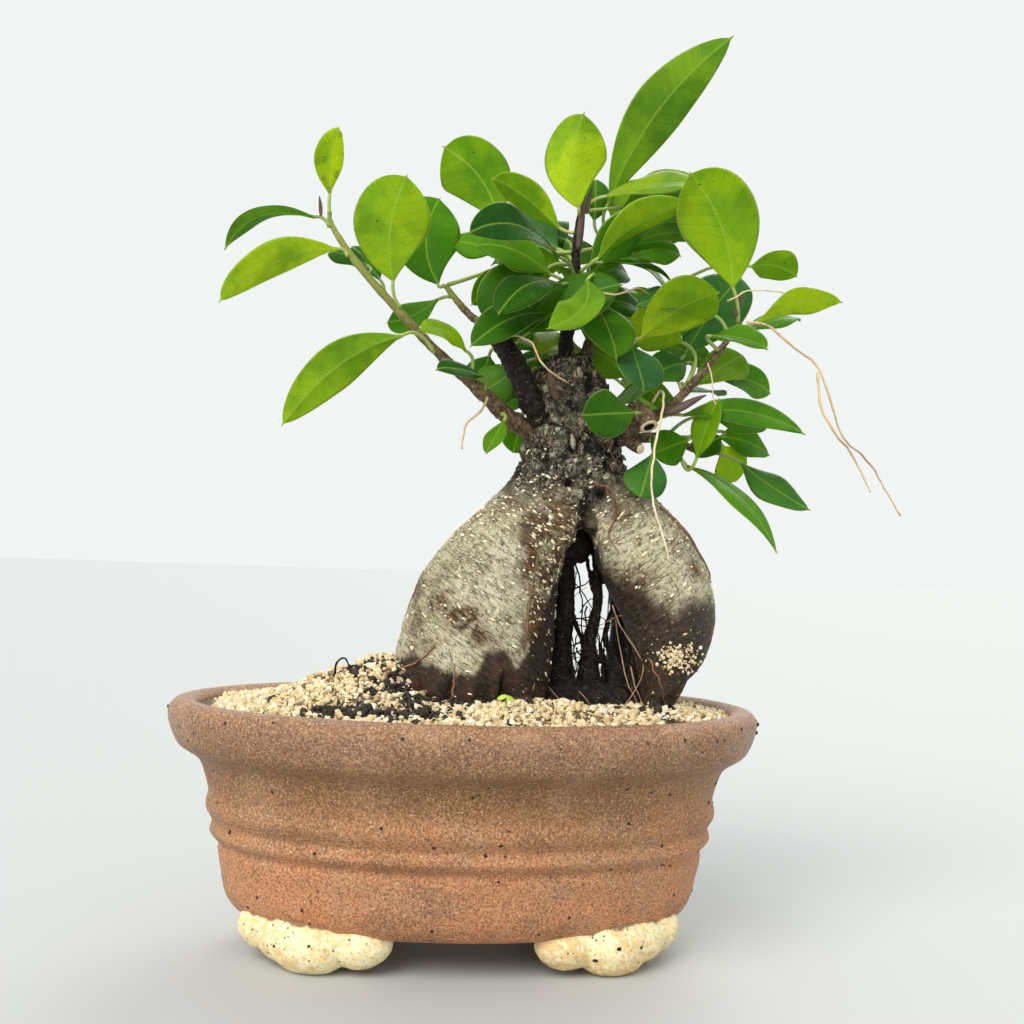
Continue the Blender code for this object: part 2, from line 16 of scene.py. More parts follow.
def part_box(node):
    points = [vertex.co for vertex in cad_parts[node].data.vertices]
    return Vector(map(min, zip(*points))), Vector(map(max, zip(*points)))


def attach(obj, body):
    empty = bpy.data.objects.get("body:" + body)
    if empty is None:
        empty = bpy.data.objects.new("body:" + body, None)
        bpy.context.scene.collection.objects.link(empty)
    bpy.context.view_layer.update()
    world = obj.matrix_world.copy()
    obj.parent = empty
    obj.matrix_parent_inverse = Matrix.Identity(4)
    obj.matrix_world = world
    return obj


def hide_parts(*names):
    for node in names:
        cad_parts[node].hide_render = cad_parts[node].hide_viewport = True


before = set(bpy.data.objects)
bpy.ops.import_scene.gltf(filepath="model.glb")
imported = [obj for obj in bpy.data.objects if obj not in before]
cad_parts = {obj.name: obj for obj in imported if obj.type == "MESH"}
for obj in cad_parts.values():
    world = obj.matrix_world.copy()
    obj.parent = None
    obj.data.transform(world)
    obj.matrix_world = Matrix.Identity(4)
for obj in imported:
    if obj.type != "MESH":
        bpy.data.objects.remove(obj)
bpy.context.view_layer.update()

MM = 0.001
POT_LOW, POT_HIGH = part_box("pot_body")
POT_CENTRE = np.array([(POT_LOW.x + POT_HIGH.x) / 2, (POT_LOW.y + POT_HIGH.y) / 2, 0.0])
rng = np.random.default_rng(12)


def metres(points):
    return np.asarray(points, float) * MM + POT_CENTRE


def millimetres(points):
    return (np.asarray(points, float) - POT_CENTRE) / MM


# ---------------------------------------------------------------- camera, floor and light

CAMERA_AT = (-19.5, -352.1, 113.5)
CAMERA_HEADING = 0.0865  # to the right of +Y, radians
CAMERA_PITCH = 0.0338
CAMERA_ROLL = 0.0352
FOCAL_LENGTH = 42.37  # mm
SENSOR_WIDTH = 36.0  # mm
NEAR_CLIP = 0.01  # m
FLOOR_SIZE = 12.0  # m
FLOOR_COLOUR = (0.482, 0.492, 0.492)
SKY_COLOUR = (0.88, 0.91, 0.90)
SUN_ANGLE = 0.7  # radians across the sun's disc, which softens the shadows
# name, the side it shines from, strength and colour
SUNS = (
    ("key", (-0.55, -0.75, 0.85), 2.4, (1.0, 0.98, 0.94)),
    ("behind", (0.4, 0.85, 0.9), 1.1, (1.0, 1.0, 0.95)),
)


def make_camera():
    data = bpy.data.cameras.new("view")
    data.sensor_width = SENSOR_WIDTH
    data.lens = FOCAL_LENGTH
    data.clip_start = NEAR_CLIP
    camera = bpy.data.objects.new("view", data)
    turn = Matrix.Rotation(-CAMERA_HEADING, 4, "Z") @ Matrix.Rotation(math.pi / 2 + CAMERA_PITCH, 4, "X")
    turn = turn @ Matrix.Rotation(CAMERA_ROLL, 4, "Z")
    camera.matrix_world = Matrix.Translation(metres(CAMERA_AT)) @ turn
    bpy.context.scene.collection.objects.link(camera)
    bpy.context.scene.camera = camera


def sun_light(name, side, strength, colour):
    """Soft light from far away, which is as bright on the whole floor."""
    data = bpy.data.lights.new(name, "SUN")
    data.angle = SUN_ANGLE
    data.energy = strength
    data.color = colour
    light = bpy.data.objects.new(name, data)
    light.rotation_euler = Vector(side).to_track_quat("Z", "Y").to_euler()
    bpy.context.scene.collection.objects.link(light)


def make_studio():
    bpy.ops.mesh.primitive_plane_add(size=FLOOR_SIZE)
    floor = bpy.context.object
    floor.name = "studio_floor"
    floor.data.materials.append(Tree("pale_floor", 0.6, 0.2).finish(FLOOR_COLOUR))
    world = bpy.data.worlds.new("soft_daylight")
    world.use_nodes = True
    background = world.node_tree.nodes["Background"]
    background.inputs["Color"].default_value = (*SKY_COLOUR, 1)
    background.inputs["Strength"].default_value = 1.0
    bpy.context.scene.world = world
    for sun in SUNS:
        sun_light(*sun)
    bpy.context.scene.view_settings.view_transform = "Standard"


# ---------------------------------------------------------------- procedural materials


class Tree:
    """One material and short names for its nodes. An input may be a socket, a number or a colour."""

    def __init__(self, name, roughness, specular=None):
        self.material = bpy.data.materials.new(name)
        self.material.use_nodes = True
        self.tree = self.material.node_tree
        self.nodes = self.tree.nodes
        self.shader = self.nodes["Principled BSDF"]
        self.shader.inputs["Roughness"].default_value = roughness
        if specular is not None:
            self.shader.inputs["Specular IOR Level"].default_value = specular
        self.place = self.nodes.new("ShaderNodeTexCoord").outputs["Object"]

    def feed(self, socket, value):
        if isinstance(value, bpy.types.NodeSocket):
            self.tree.links.new(value, socket)
        elif isinstance(value, (tuple, list)) and socket.type == "RGBA":
            socket.default_value = (*value[:3], 1)
        else:
            socket.default_value = value

    def maths(self, operation, a, b=0.0):
        node = self.nodes.new("ShaderNodeMath")
        node.operation = operation
        self.feed(node.inputs[0], a)
        self.feed(node.inputs[1], b)
        return node.outputs[0]

    def plus(self, a, b):
        return self.maths("ADD", a, b)

    def minus(self, a, b):
        return self.maths("SUBTRACT", a, b)

    def times(self, a, b):
        return self.maths("MULTIPLY", a, b)

    def stretched(self, scale, vector=None):
        node = self.nodes.new("ShaderNodeMapping")
        node.vector_type = "POINT"
        self.feed(node.inputs["Vector"], vector or self.place)
        node.inputs["Scale"].default_value = scale
        return node.outputs[0]

    def turned(self, size, tilt, vector=None):
        """Coordinates in which a feature of this size, in millimetres along tilted axes, measures one."""
        node = self.nodes.new("ShaderNodeMapping")
        node.vector_type = "TEXTURE"
        self.feed(node.inputs["Vector"], vector or self.place)
        node.inputs["Scale"].default_value = [side * MM for side in size]
        node.inputs["Rotation"].default_value = tilt
        return node.outputs[0]

    def noise(self, scale, detail=4.0, roughness=0.55, distortion=0.0, vector=None):
        node = self.nodes.new("ShaderNodeTexNoise")
        self.feed(node.inputs["Vector"], vector or self.place)
        node.inputs["Scale"].default_value = scale
        node.inputs["Detail"].default_value = detail
        node.inputs["Roughness"].default_value = roughness
        node.inputs["Distortion"].default_value = distortion
        return node.outputs["Fac"]

    def cells(self, scale, output="Distance", vector=None, randomness=1.0, feature="F1"):
        node = self.nodes.new("ShaderNodeTexVoronoi")
        node.feature = feature
        self.feed(node.inputs["Vector"], vector or self.place)
        node.inputs["Scale"].default_value = scale
        node.inputs["Randomness"].default_value = randomness
        return node.outputs[output]

    def between(self, value, low, high, to_low=0.0, to_high=1.0):
        node = self.nodes.new("ShaderNodeMapRange")
        node.interpolation_type = "SMOOTHSTEP"
        self.feed(node.inputs["Value"], value)
        node.inputs["From Min"].default_value = low
        node.inputs["From Max"].default_value = high
        node.inputs["To Min"].default_value = to_low
        node.inputs["To Max"].default_value = to_high
        return node.outputs["Result"]

    def clouds(self, scale, detail, *limits):
        """Soft patches of noise, between these limits."""
        return self.between(self.noise(scale, detail), *limits)

    def specks(self, scale, near, far, where, low, high):
        """Round specks, only where a coarser noise lets them be."""
        return self.times(self.between(self.cells(scale), near, far, 1, 0), self.clouds(where, 2, low, high))

    def mix(self, share, a, b, blend="MIX"):
        node = self.nodes.new("ShaderNodeMix")
        node.data_type = "RGBA"
        node.blend_type = blend
        self.feed(node.inputs["Factor"], share)
        self.feed(node.inputs[6], a)
        self.feed(node.inputs[7], b)
        return node.outputs[2]

    def ramp(self, value, stops):
        node = self.nodes.new("ShaderNodeValToRGB")
        self.feed(node.inputs[0], value)
        elements = node.color_ramp.elements
        while len(elements) < len(stops):
            elements.new(0.5)
        for element, (position, colour) in zip(elements, stops):
            element.position = position
            element.color = (*colour, 1)
        return node.outputs["Color"]

    def split(self, vector):
        node = self.nodes.new("ShaderNodeSeparateXYZ")
        self.feed(node.inputs[0], vector)
        return node.outputs

    def attribute(self, name, output="Color"):
        node = self.nodes.new("ShaderNodeAttribute")
        node.attribute_name = name
        return node.outputs[output]

    def bump(self, height, distance, strength=1.0, normal=None):
        """distance is in millimetres."""
        node = self.nodes.new("ShaderNodeBump")
        node.inputs["Strength"].default_value = strength
        node.inputs["Distance"].default_value = distance * MM
        self.feed(node.inputs["Height"], height)
        if normal:
            self.feed(node.inputs["Normal"], normal)
        return node.outputs["Normal"]

    def island(self):
        return self.nodes.new("ShaderNodeNewGeometry").outputs["Random Per Island"]

    def finish(self, colour, roughness=None, normal=None):
        self.feed(self.shader.inputs["Base Color"], colour)
        if roughness is not None:
            self.feed(self.shader.inputs["Roughness"], roughness)
        if normal is not None:
            self.feed(self.shader.inputs["Normal"], normal)
        return self.material


def stoneware():
    t = Tree("brown_stoneware", 0.5, 0.3)
    height = t.plus(t.split(t.place)[2], t.times(t.minus(t.noise(28, 3), 0.5), 0.030))
    # Colour up the wall by height; the greyer last stop at the rim's top is partly the rim's own tone and partly
    # painted sheen.
    body = t.ramp(
        t.between(height, 0.008, 0.070),
        (
            (0.0, (0.60, 0.250, 0.115)),
            (0.30, (0.55, 0.240, 0.110)),
            (0.55, (0.43, 0.205, 0.090)),
            (0.74, (0.29, 0.145, 0.058)),
            (0.88, (0.27, 0.135, 0.062)),
            (1.0, (0.32, 0.172, 0.098)),
        ),
    )
    body = t.mix(t.clouds(60, 5, 0.47, 0.62, 0, 0.45), body, (0.44, 0.26, 0.145))
    bands = t.between(t.noise(45, 5, vector=t.stretched((1, 1, 2.5))), 0.50, 0.64, 0, 0.5)
    body = t.mix(bands, body, (0.24, 0.125, 0.066))
    fine = t.noise(1500, 3, 0.8)
    body = t.mix(t.between(fine, 0.41, 0.485, 0.65, 0), body, (0.13, 0.060, 0.028))
    body = t.mix(t.between(fine, 0.52, 0.59, 0, 0.40), body, (0.84, 0.48, 0.26))
    grains = t.specks(1150, 0.10, 0.26, 800, 0.48, 0.53)
    body = t.mix(t.times(grains, 0.9), body, (0.98, 0.78, 0.52))
    dark = t.specks(170, 0.06, 0.12, 90, 0.46, 0.48)
    body = t.mix(dark, body, (0.03, 0.018, 0.012))
    normal = t.bump(t.noise(330, 3), 0.4, 0.6)
    normal = t.bump(fine, 0.5, 1.0, normal)
    normal = t.bump(grains, 0.08, 0.8, normal)
    rough = t.plus(t.between(height, 0.045, 0.068, 0.48, 0.28), t.between(fine, 0.4, 0.6, -0.08, 0.14))
    return t.finish(body, rough, normal)


def cream_stoneware():
    t = Tree("cream_stoneware", 0.7, 0.25)
    base = t.mix(t.clouds(90, 5, 0.44, 0.58), (0.93, 0.80, 0.46), (0.82, 0.60, 0.28))
    base = t.mix(t.clouds(600, 4, 0.50, 0.58, 0, 0.6), base, (0.97, 0.91, 0.66))
    base = t.mix(t.clouds(1100, 4, 0.54, 0.61, 0, 0.40), base, (0.42, 0.26, 0.11))
    pits = t.specks(520, 0.08, 0.20, 160, 0.48, 0.54)
    base = t.mix(t.times(pits, 0.9), base, (0.20, 0.10, 0.045))
    holes = t.plus(t.cells(1.0, vector=t.stretched((150, 150, 210))), t.times(t.noise(700, 3), 0.16))
    edge = t.plus(t.split(t.place)[2], t.times(t.noise(260, 3), 0.004))
    # A dark band at the top of each foot, where it meets the pot's wall: painted shade.
    base = t.mix(t.between(edge, 0.0150, 0.0158, 0, 0.85), base, (0.16, 0.075, 0.035))
    black = t.times(t.between(holes, 0.16, 0.20, 1, 0), t.clouds(70, 2, 0.46, 0.49))
    base = t.mix(black, base, (0.03, 0.02, 0.015))
    normal = t.bump(t.noise(900, 5, 0.7), 0.2, 0.7)
    normal = t.bump(t.minus(1.0, pits), 0.45, 0.9, normal)
    normal = t.bump(t.minus(1.0, black), 1.5, 1.0, normal)
    return t.finish(base, t.clouds(300, 3, 0.3, 0.7, 0.55, 0.8), normal)


def sand_grain():
    t = Tree("sand_grain", 0.7, 0.3)
    colour = t.ramp(
        t.island(),
        (
            (0.0, (0.80, 0.64, 0.36)),
            (0.16, (0.90, 0.82, 0.58)),
            (0.34, (0.58, 0.42, 0.20)),
            (0.50, (0.96, 0.92, 0.76)),
            (0.66, (0.70, 0.54, 0.28)),
            (0.80, (0.86, 0.76, 0.52)),
            (0.88, (0.50, 0.34, 0.16)),
            (0.955, (0.74, 0.58, 0.32)),
            (0.975, (0.20, 0.12, 0.06)),
            (1.0, (0.08, 0.05, 0.03)),
        ),
    )
    colour = t.mix(t.clouds(1500, 3, 0.46, 0.58, 0, 0.5), colour, (0.46, 0.33, 0.16))
    normal = t.bump(t.noise(2600, 3), 0.08, 0.6)
    return t.finish(colour, t.clouds(800, 2, 0.3, 0.7, 0.5, 0.85), normal)


def sand_bed():
    t = Tree("sand_bed", 0.85)
    colour = t.mix(t.between(t.cells(650), 0.1, 0.6), (0.34, 0.24, 0.13), (0.10, 0.065, 0.035))
    return t.finish(colour, None, t.bump(t.cells(650), 0.5, 0.8))


def soil():
    t = Tree("dark_soil", 0.8)
    colour = t.ramp(
        t.noise(900, 5, 0.7),
        ((0.3, (0.012, 0.008, 0.006)), (0.55, (0.035, 0.022, 0.014)), (0.8, (0.11, 0.07, 0.045))),
    )
    normal = t.bump(t.noise(1200, 5, 0.7), 0.4, 0.9)
    return t.finish(colour, t.clouds(500, 2, 0.35, 0.65, 0.45, 0.9), normal)


def screen_plastic():
    t = Tree("screen_plastic", 0.6)
    colour = t.mix(t.noise(300, 3), (0.02, 0.02, 0.022), (0.06, 0.06, 0.065))
    return t.finish(colour, None, t.bump(t.noise(900, 3), 0.05, 0.5))


def bark():
    """Attributes hold what the bark is like at each point. zone: wet (with painted shade behind the arch), rough as on
    the neck, and near-black painted shade.
    stain: brown, rusty, and 0 on the left leg to 1 on the right one, whose fibres lean the other way.
    head: 1 on the pale knob at the top of the neck."""
    t = Tree("ficus_bark", 0.6, 0.3)
    wet_and_shade, neck, black = t.split(t.attribute("zone", "Vector"))
    brown, rusty, right = t.split(t.attribute("stain", "Vector"))
    left_fibre = t.noise(1.0, 5, 0.8, 0.8, t.turned((3.0, 3.0, 0.62), (0, 0.55, 0)))
    right_fibre = t.noise(1.0, 5, 0.8, 0.8, t.turned((3.0, 3.0, 0.62), (0, -0.65, 0)))
    fibre = t.plus(left_fibre, t.times(right, t.minus(right_fibre, left_fibre)))
    cracks = t.noise(1.0, 5, 0.8, 1.2, t.turned((1.0, 1.0, 4.0), (0, -0.35, 0)))
    fine = t.noise(1300, 5, 0.85)
    base = t.ramp(
        t.noise(70, 5, 0.65),
        ((0.38, (0.57, 0.50, 0.30)), (0.50, (0.82, 0.74, 0.49)), (0.62, (0.95, 0.88, 0.63))),
    )
    base = t.mix(t.clouds(28, 3, 0.46, 0.60, 0, 0.5), base, (0.60, 0.56, 0.29))
    base = t.mix(t.between(fibre, 0.42, 0.475, 0.8, 0), base, (0.165, 0.125, 0.066))
    base = t.mix(t.between(cracks, 0.41, 0.455, 0.85, 0), base, (0.085, 0.062, 0.034))
    base = t.mix(t.between(fibre, 0.52, 0.58, 0, 0.7), base, (0.98, 0.93, 0.74))
    base = t.mix(t.between(fine, 0.53, 0.62, 0, 0.5), base, (0.20, 0.155, 0.088))
    brown_skin = t.mix(t.between(fibre, 0.44, 0.60), (0.045, 0.025, 0.012), (0.29, 0.155, 0.066))
    base = t.mix(t.times(brown, t.between(t.noise(160, 4, 0.75), 0.41, 0.50, 0.5, 1.0)), base, brown_skin)
    spots = t.cells(1.0, vector=t.stretched((430, 430, 560)))
    where = t.clouds(150, 3, 0.48, 0.54)
    halo = t.times(t.between(spots, 0.26, 0.42, 1, 0), where)
    dots = t.times(t.between(spots, 0.15, 0.25, 1, 0), where)
    base = t.mix(t.times(halo, 0.6), base, (0.12, 0.085, 0.05))
    base = t.mix(t.times(dots, 0.9), base, (0.90, 0.80, 0.57))
    crust_noise = t.noise(1.0, 6, 0.85, 1.0, t.turned((2.2, 2.2, 2.6), (0, 0.3, 0)))
    rough_bark = t.ramp(
        crust_noise,
        (
            (0.41, (0.006, 0.005, 0.004)),
            (0.48, (0.034, 0.024, 0.015)),
            (0.52, (0.140, 0.094, 0.056)),
            (0.555, (0.38, 0.32, 0.22)),
            (0.60, (0.86, 0.80, 0.64)),
        ),
    )
    rough_bark = t.mix(t.clouds(110, 3, 0.48, 0.58, 0, 0.6), rough_bark, (0.105, 0.056, 0.031))
    mossy = t.between(t.noise(95, 3, vector=t.stretched((1, 1, 1.3))), 0.51, 0.60, 0, 0.5)
    rough_bark = t.mix(mossy, rough_bark, (0.16, 0.17, 0.085))
    rough_bark = t.mix(t.between(fine, 0.55, 0.61, 0, 0.95), rough_bark, (0.82, 0.77, 0.62))
    flakes = t.times(t.attribute("head", "Fac"), t.between(crust_noise, 0.45, 0.53, 0.15, 1))
    rough_bark = t.mix(flakes, rough_bark, (0.60, 0.58, 0.42))
    base = t.mix(neck, base, rough_bark)
    wet_and_shaded_bark = t.mix(t.between(fibre, 0.43, 0.58), (0.009, 0.006, 0.004), (0.062, 0.036, 0.022))
    wet_and_shaded_bark = t.mix(t.between(fine, 0.56, 0.63, 0, 0.45), wet_and_shaded_bark, (0.22, 0.14, 0.085))
    wet_and_shaded_bark = t.mix(t.times(rusty, t.clouds(160, 4, 0.44, 0.56)), wet_and_shaded_bark, (0.135, 0.040, 0.024))
    wet_and_shaded_bark = t.mix(t.times(dots, 0.4), wet_and_shaded_bark, (0.55, 0.40, 0.25))
    # Wet bark, and painted shade on the arch's back.
    base = t.mix(wet_and_shade, base, wet_and_shaded_bark)
    # Near-black painted shade in the arch, the crease, the hollows and the neck's pockets.
    base = t.mix(black, base, (0.004, 0.003, 0.003))
    height = t.plus(fibre, t.times(fine, 0.5))
    normal = t.bump(height, 0.8, 1.0)
    normal = t.bump(cracks, 0.6, 0.8, normal)
    normal = t.bump(dots, 0.3, 0.8, normal)
    normal = t.bump(t.times(crust_noise, neck), 2.2, 1.0, normal)
    rough = t.minus(t.between(fibre, 0.4, 0.6, 0.55, 0.85), t.times(wet_and_shade, 0.26))
    return t.finish(base, rough, normal)


def corky():
    t = Tree("lenticel_cork", 0.8)
    colour = t.ramp(t.island(), ((0.0, (0.78, 0.66, 0.42)), (0.5, (0.95, 0.87, 0.64)), (1.0, (0.60, 0.46, 0.27))))
    return t.finish(colour, None, t.bump(t.noise(2500, 3), 0.06, 0.6))


def twig_bark():
    """The attribute green runs from 0 on old wood to 1 on this year's growth."""
    t = Tree("twig_bark", 0.6, 0.2)
    green = t.attribute("green", "Fac")
    old = t.mix(t.between(t.noise(900, 5, 0.75), 0.35, 0.65), (0.035, 0.021, 0.012), (0.20, 0.130, 0.070))
    old = t.mix(t.clouds(240, 4, 0.5, 0.7, 0, 0.6), old, (0.30, 0.22, 0.12))
    dots = t.specks(900, 0.14, 0.24, 300, 0.46, 0.56)
    old = t.mix(t.times(dots, 0.85), old, (0.58, 0.47, 0.30))
    young = t.mix(t.noise(500, 3), (0.16, 0.22, 0.035), (0.36, 0.34, 0.08))
    colour = t.mix(t.between(green, 0.2, 0.95), old, young)
    normal = t.bump(t.noise(1100, 5, 0.7), 0.3, 0.8)
    normal = t.bump(dots, 0.12, 0.6, normal)
    return t.finish(colour, t.clouds(400, 3, 0.3, 0.7, 0.45, 0.75), normal)


def dark_wood(name="black_wood"):
    t = Tree(name, 0.6, 0.2)
    colour = t.mix(t.between(t.noise(700, 5, 0.75), 0.46, 0.58), (0.004, 0.003, 0.0025), (0.030, 0.019, 0.012))
    specks = t.specks(1100, 0.10, 0.17, 300, 0.52, 0.56)
    colour = t.mix(specks, colour, (0.40, 0.33, 0.24))
    return t.finish(colour, None, t.bump(t.noise(900, 5, 0.8), 0.5, 0.9))


def bark_plate():
    t = Tree("bark_plate", 0.75, 0.25)
    colour = t.ramp(
        t.island(),
        (
            (0.0, (0.020, 0.014, 0.010)),
            (0.30, (0.085, 0.055, 0.034)),
            (0.50, (0.16, 0.095, 0.052)),
            (0.66, (0.05, 0.036, 0.025)),
            (0.80, (0.24, 0.21, 0.13)),
            (0.92, (0.50, 0.46, 0.34)),
            (1.0, (0.30, 0.15, 0.07)),
        ),
    )
    colour = t.mix(t.between(t.noise(900, 4, 0.8), 0.40, 0.50, 0.85, 0), colour, (0.014, 0.010, 0.008))
    colour = t.mix(t.between(t.noise(1300, 3, 0.8), 0.54, 0.60, 0, 0.6), colour, (0.66, 0.61, 0.47))
    return t.finish(colour, None, t.bump(t.noise(1100, 4, 0.8), 0.5, 0.9))


def root_skin(name, pale, brown):
    t = Tree(name, 0.55)
    colour = t.mix(t.clouds(60, 4, 0.42, 0.68), pale, brown)
    colour = t.mix(t.clouds(900, 4, 0.5, 0.75, 0, 0.5), colour, tuple(0.6 * v for v in brown))
    return t.finish(colour, None, t.bump(t.noise(1600, 4), 0.08, 0.7))


def cut_wood():
    t = Tree("cut_wood", 0.7)
    colour = t.mix(t.noise(800, 4), (0.55, 0.42, 0.26), (0.72, 0.60, 0.42))
    return t.finish(colour, None, t.bump(t.noise(1500, 4), 0.1, 0.7))


def dark_hollow():
    t = Tree("dark_hollow", 0.9)
    colour = t.mix(t.noise(900, 4), (0.008, 0.005, 0.004), (0.05, 0.03, 0.02))
    return t.finish(colour, None, t.bump(t.noise(1500, 4), 0.1, 0.7))


def leaf_side(name, upper):
    """One side of a blade. The map named blade runs across it and along it, in centimetres. tint holds brightness,
    blueness and a random number, and edge is 1 at the margin."""
    t = Tree(name, 0.3 if upper else 0.45, 0.12 if upper else 0.07)
    bright, blue, _ = t.split(t.attribute("tint", "Vector"))
    uv = t.nodes.new("ShaderNodeUVMap")
    uv.uv_map = "blade"
    across, along, _ = t.split(uv.outputs[0])
    side = t.maths("ABSOLUTE", across)
    wobble = t.times(t.minus(t.noise(140, 2), 0.5), 0.10)
    phase = t.plus(t.minus(along, t.times(side, 0.62)), wobble)
    main_vein = t.between(t.maths("PINGPONG", phase, 0.17), 0.0, 0.016, 1, 0)
    fine_vein = t.between(t.maths("PINGPONG", t.plus(phase, 0.03), 0.045), 0.0, 0.012, 1, 0)
    net = t.between(t.cells(900, feature="DISTANCE_TO_EDGE"), 0.0, 0.09, 1, 0)
    midrib = t.between(side, 0.010, 0.045, 1, 0)
    if upper:
        deep, mid, light = (0.010, 0.080, 0.002), (0.070, 0.230, 0.004), (0.28, 0.44, 0.010)
        vein_colour, rib_colour = (0.16, 0.33, 0.03), (0.30, 0.45, 0.06)
        vein_share, net_share, rib_share = 0.18, 0.06, 0.6
    else:
        deep, mid, light = (0.060, 0.170, 0.006), (0.150, 0.310, 0.007), (0.31, 0.48, 0.025)
        vein_colour, rib_colour = (0.05, 0.15, 0.01), (0.36, 0.52, 0.09)
        vein_share, net_share, rib_share = 0.22, 0.12, 0.55
    # Brightness is partly the leaf's own tone and partly painted light on leaves that light shines through.
    colour = t.mix(t.between(bright, 0.0, 0.5), deep, mid)
    colour = t.mix(t.between(bright, 0.5, 1.0), colour, light)
    colour = t.mix(t.times(blue, 0.7), colour, (0.055, 0.185, 0.085))
    patches = t.between(t.noise(55, 4, 0.6), 0.42, 0.58, 0, 0.6)
    colour = t.mix(patches, colour, t.mix(1.0, colour, (1.7, 1.35, 0.9), "MULTIPLY"))
    darker = t.between(t.noise(50, 3, 0.6, vector=t.stretched((1, 1.4, 1))), 0.50, 0.62, 0, 0.5)
    colour = t.mix(darker, colour, t.mix(1.0, colour, (0.55, 0.66, 0.6), "MULTIPLY"))
    colour = t.mix(t.times(net, net_share), colour, vein_colour)
    colour = t.mix(t.times(fine_vein, vein_share * 0.5), colour, vein_colour)
    colour = t.mix(t.times(main_vein, vein_share), colour, vein_colour)
    colour = t.mix(t.times(midrib, rib_share), colour, rib_colour)
    margin = t.between(t.attribute("edge", "Fac"), 0.94, 0.99)
    colour = t.mix(t.times(margin, 0.7), colour, (0.55, 0.66, 0.22))
    specks = t.specks(330, 0.07, 0.13, 60, 0.54, 0.60)
    colour = t.mix(t.times(specks, 0.85), colour, (0.06, 0.05, 0.012))
    relief = t.plus(main_vein, t.times(fine_vein, 0.35))
    relief = t.plus(relief, t.times(net, 0.25))
    relief = t.times(relief, -1.0 if upper else 1.0)
    normal = t.bump(t.noise(260, 3), 0.35, 0.4)
    normal = t.bump(relief, 0.06, 0.8, normal)
    low, high = (0.26, 0.42) if upper else (0.42, 0.60)
    material = t.finish(colour, t.clouds(350, 3, 0.3, 0.7, low, high), normal)
    through = t.nodes.new("ShaderNodeBsdfTranslucent")
    t.feed(through.inputs["Color"], t.mix(1.0, colour, (2.1, 1.85, 0.8), "MULTIPLY"))
    t.feed(through.inputs["Normal"], normal)
    blend = t.nodes.new("ShaderNodeMixShader")
    blend.inputs[0].default_value = 0.42
    t.tree.links.new(t.shader.outputs[0], blend.inputs[1])
    t.tree.links.new(through.outputs[0], blend.inputs[2])
    t.tree.links.new(blend.outputs[0], t.nodes["Material Output"].inputs["Surface"])
    return material


def stalk_skin():
    t = Tree("leaf_stalk", 0.4)
    tint = t.split(t.attribute("tint", "Vector"))
    colour = t.mix(tint[0], (0.16, 0.26, 0.05), (0.42, 0.50, 0.12))
    colour = t.mix(t.clouds(300, 3, 0.5, 0.75, 0, 0.5), colour, (0.30, 0.26, 0.09))
    return t.finish(colour, None, t.bump(t.noise(900, 3), 0.08, 0.6))


# ---------------------------------------------------------------- meshes


def mesh_of(name, points, faces):
    mesh = bpy.data.meshes.new(name)
    mesh.from_pydata(metres(points).tolist(), [], [tuple(int(i) for i in f) for f in faces])
    return mesh


def new_piece(name, points, faces, materials, slot, replaces=(), smooth=True, slots=None):
    """One object of the visual model from points in millimetres, riding on the plant's one body."""
    mesh = mesh_of(name, points, faces)
    for material in materials:
        mesh.materials.append(material)
    if slots is not None:
        mesh.polygons.foreach_set("material_index", np.asarray(slots, np.int32))
    if smooth:
        mesh.shade_smooth()
    mesh.validate()
    return adopt(bpy.data.objects.new(name, mesh), slot, replaces)


def adopt(obj, slot, replaces=()):
    if not obj.users_collection:
        bpy.context.scene.collection.objects.link(obj)
    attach(obj, "root")
    if replaces:
        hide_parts(*replaces)
    return obj


def set_attribute(obj, name, values, kind="FLOAT"):
    values = np.asarray(values, np.float32)
    attribute = obj.data.attributes.new(name, kind, "POINT")
    attribute.data.foreach_set("value" if kind == "FLOAT" else "vector", values.ravel())


def smooth_step(low, high, value):
    share = np.clip((np.asarray(value, float) - low) / (high - low), 0, 1)
    return share * share * (3 - 2 * share)


def noise_at(points, frequency, octaves=1, offset=0.0):
    """Perlin noise from about -1 to 1 at each point. frequency is one number or one for each axis, per millimetre."""
    scaled = np.asarray(points, float) * frequency + offset
    if octaves == 1:
        return np.array([noise.noise(Vector(p)) for p in scaled])
    return np.array([noise.fractal(Vector(p), 0.9, 2.1, octaves) for p in scaled])


def catmull(points, steps):
    """Smooth curve through points of any number of values, with steps points for each span."""
    p = np.asarray(points, float)
    p = np.vstack([2 * p[0] - p[1], p, 2 * p[-1] - p[-2]])
    out = []
    for a, b, c, d in zip(p, p[1:], p[2:], p[3:]):
        for step in range(steps):
            t = step / steps
            out.append(
                0.5 * (2 * b + (c - a) * t + (2 * a - 5 * b + 4 * c - d) * t**2 + (3 * b - a - 3 * c + d) * t**3)
            )
    out.append(p[-2])
    return np.array(out)


def tube_rings(route, radii, sides):
    """Rings square to the route, turning as little as they can: an array of rings, points and values."""
    route = np.asarray(route, float)
    tangents = np.gradient(route, axis=0)
    tangents /= np.linalg.norm(tangents, axis=1)[:, None] + 1e-12
    side = np.array(Vector(tangents[0]).orthogonal().normalized())
    angles = 2 * math.pi * np.arange(sides) / sides
    rings = []
    for point, tangent, radius in zip(route, tangents, radii):
        side = side - tangent * side.dot(tangent)
        side /= np.linalg.norm(side)
        other = np.cross(tangent, side)
        rings.append(point + radius * (np.outer(np.cos(angles), side) + np.outer(np.sin(angles), other)))
    return np.array(rings)


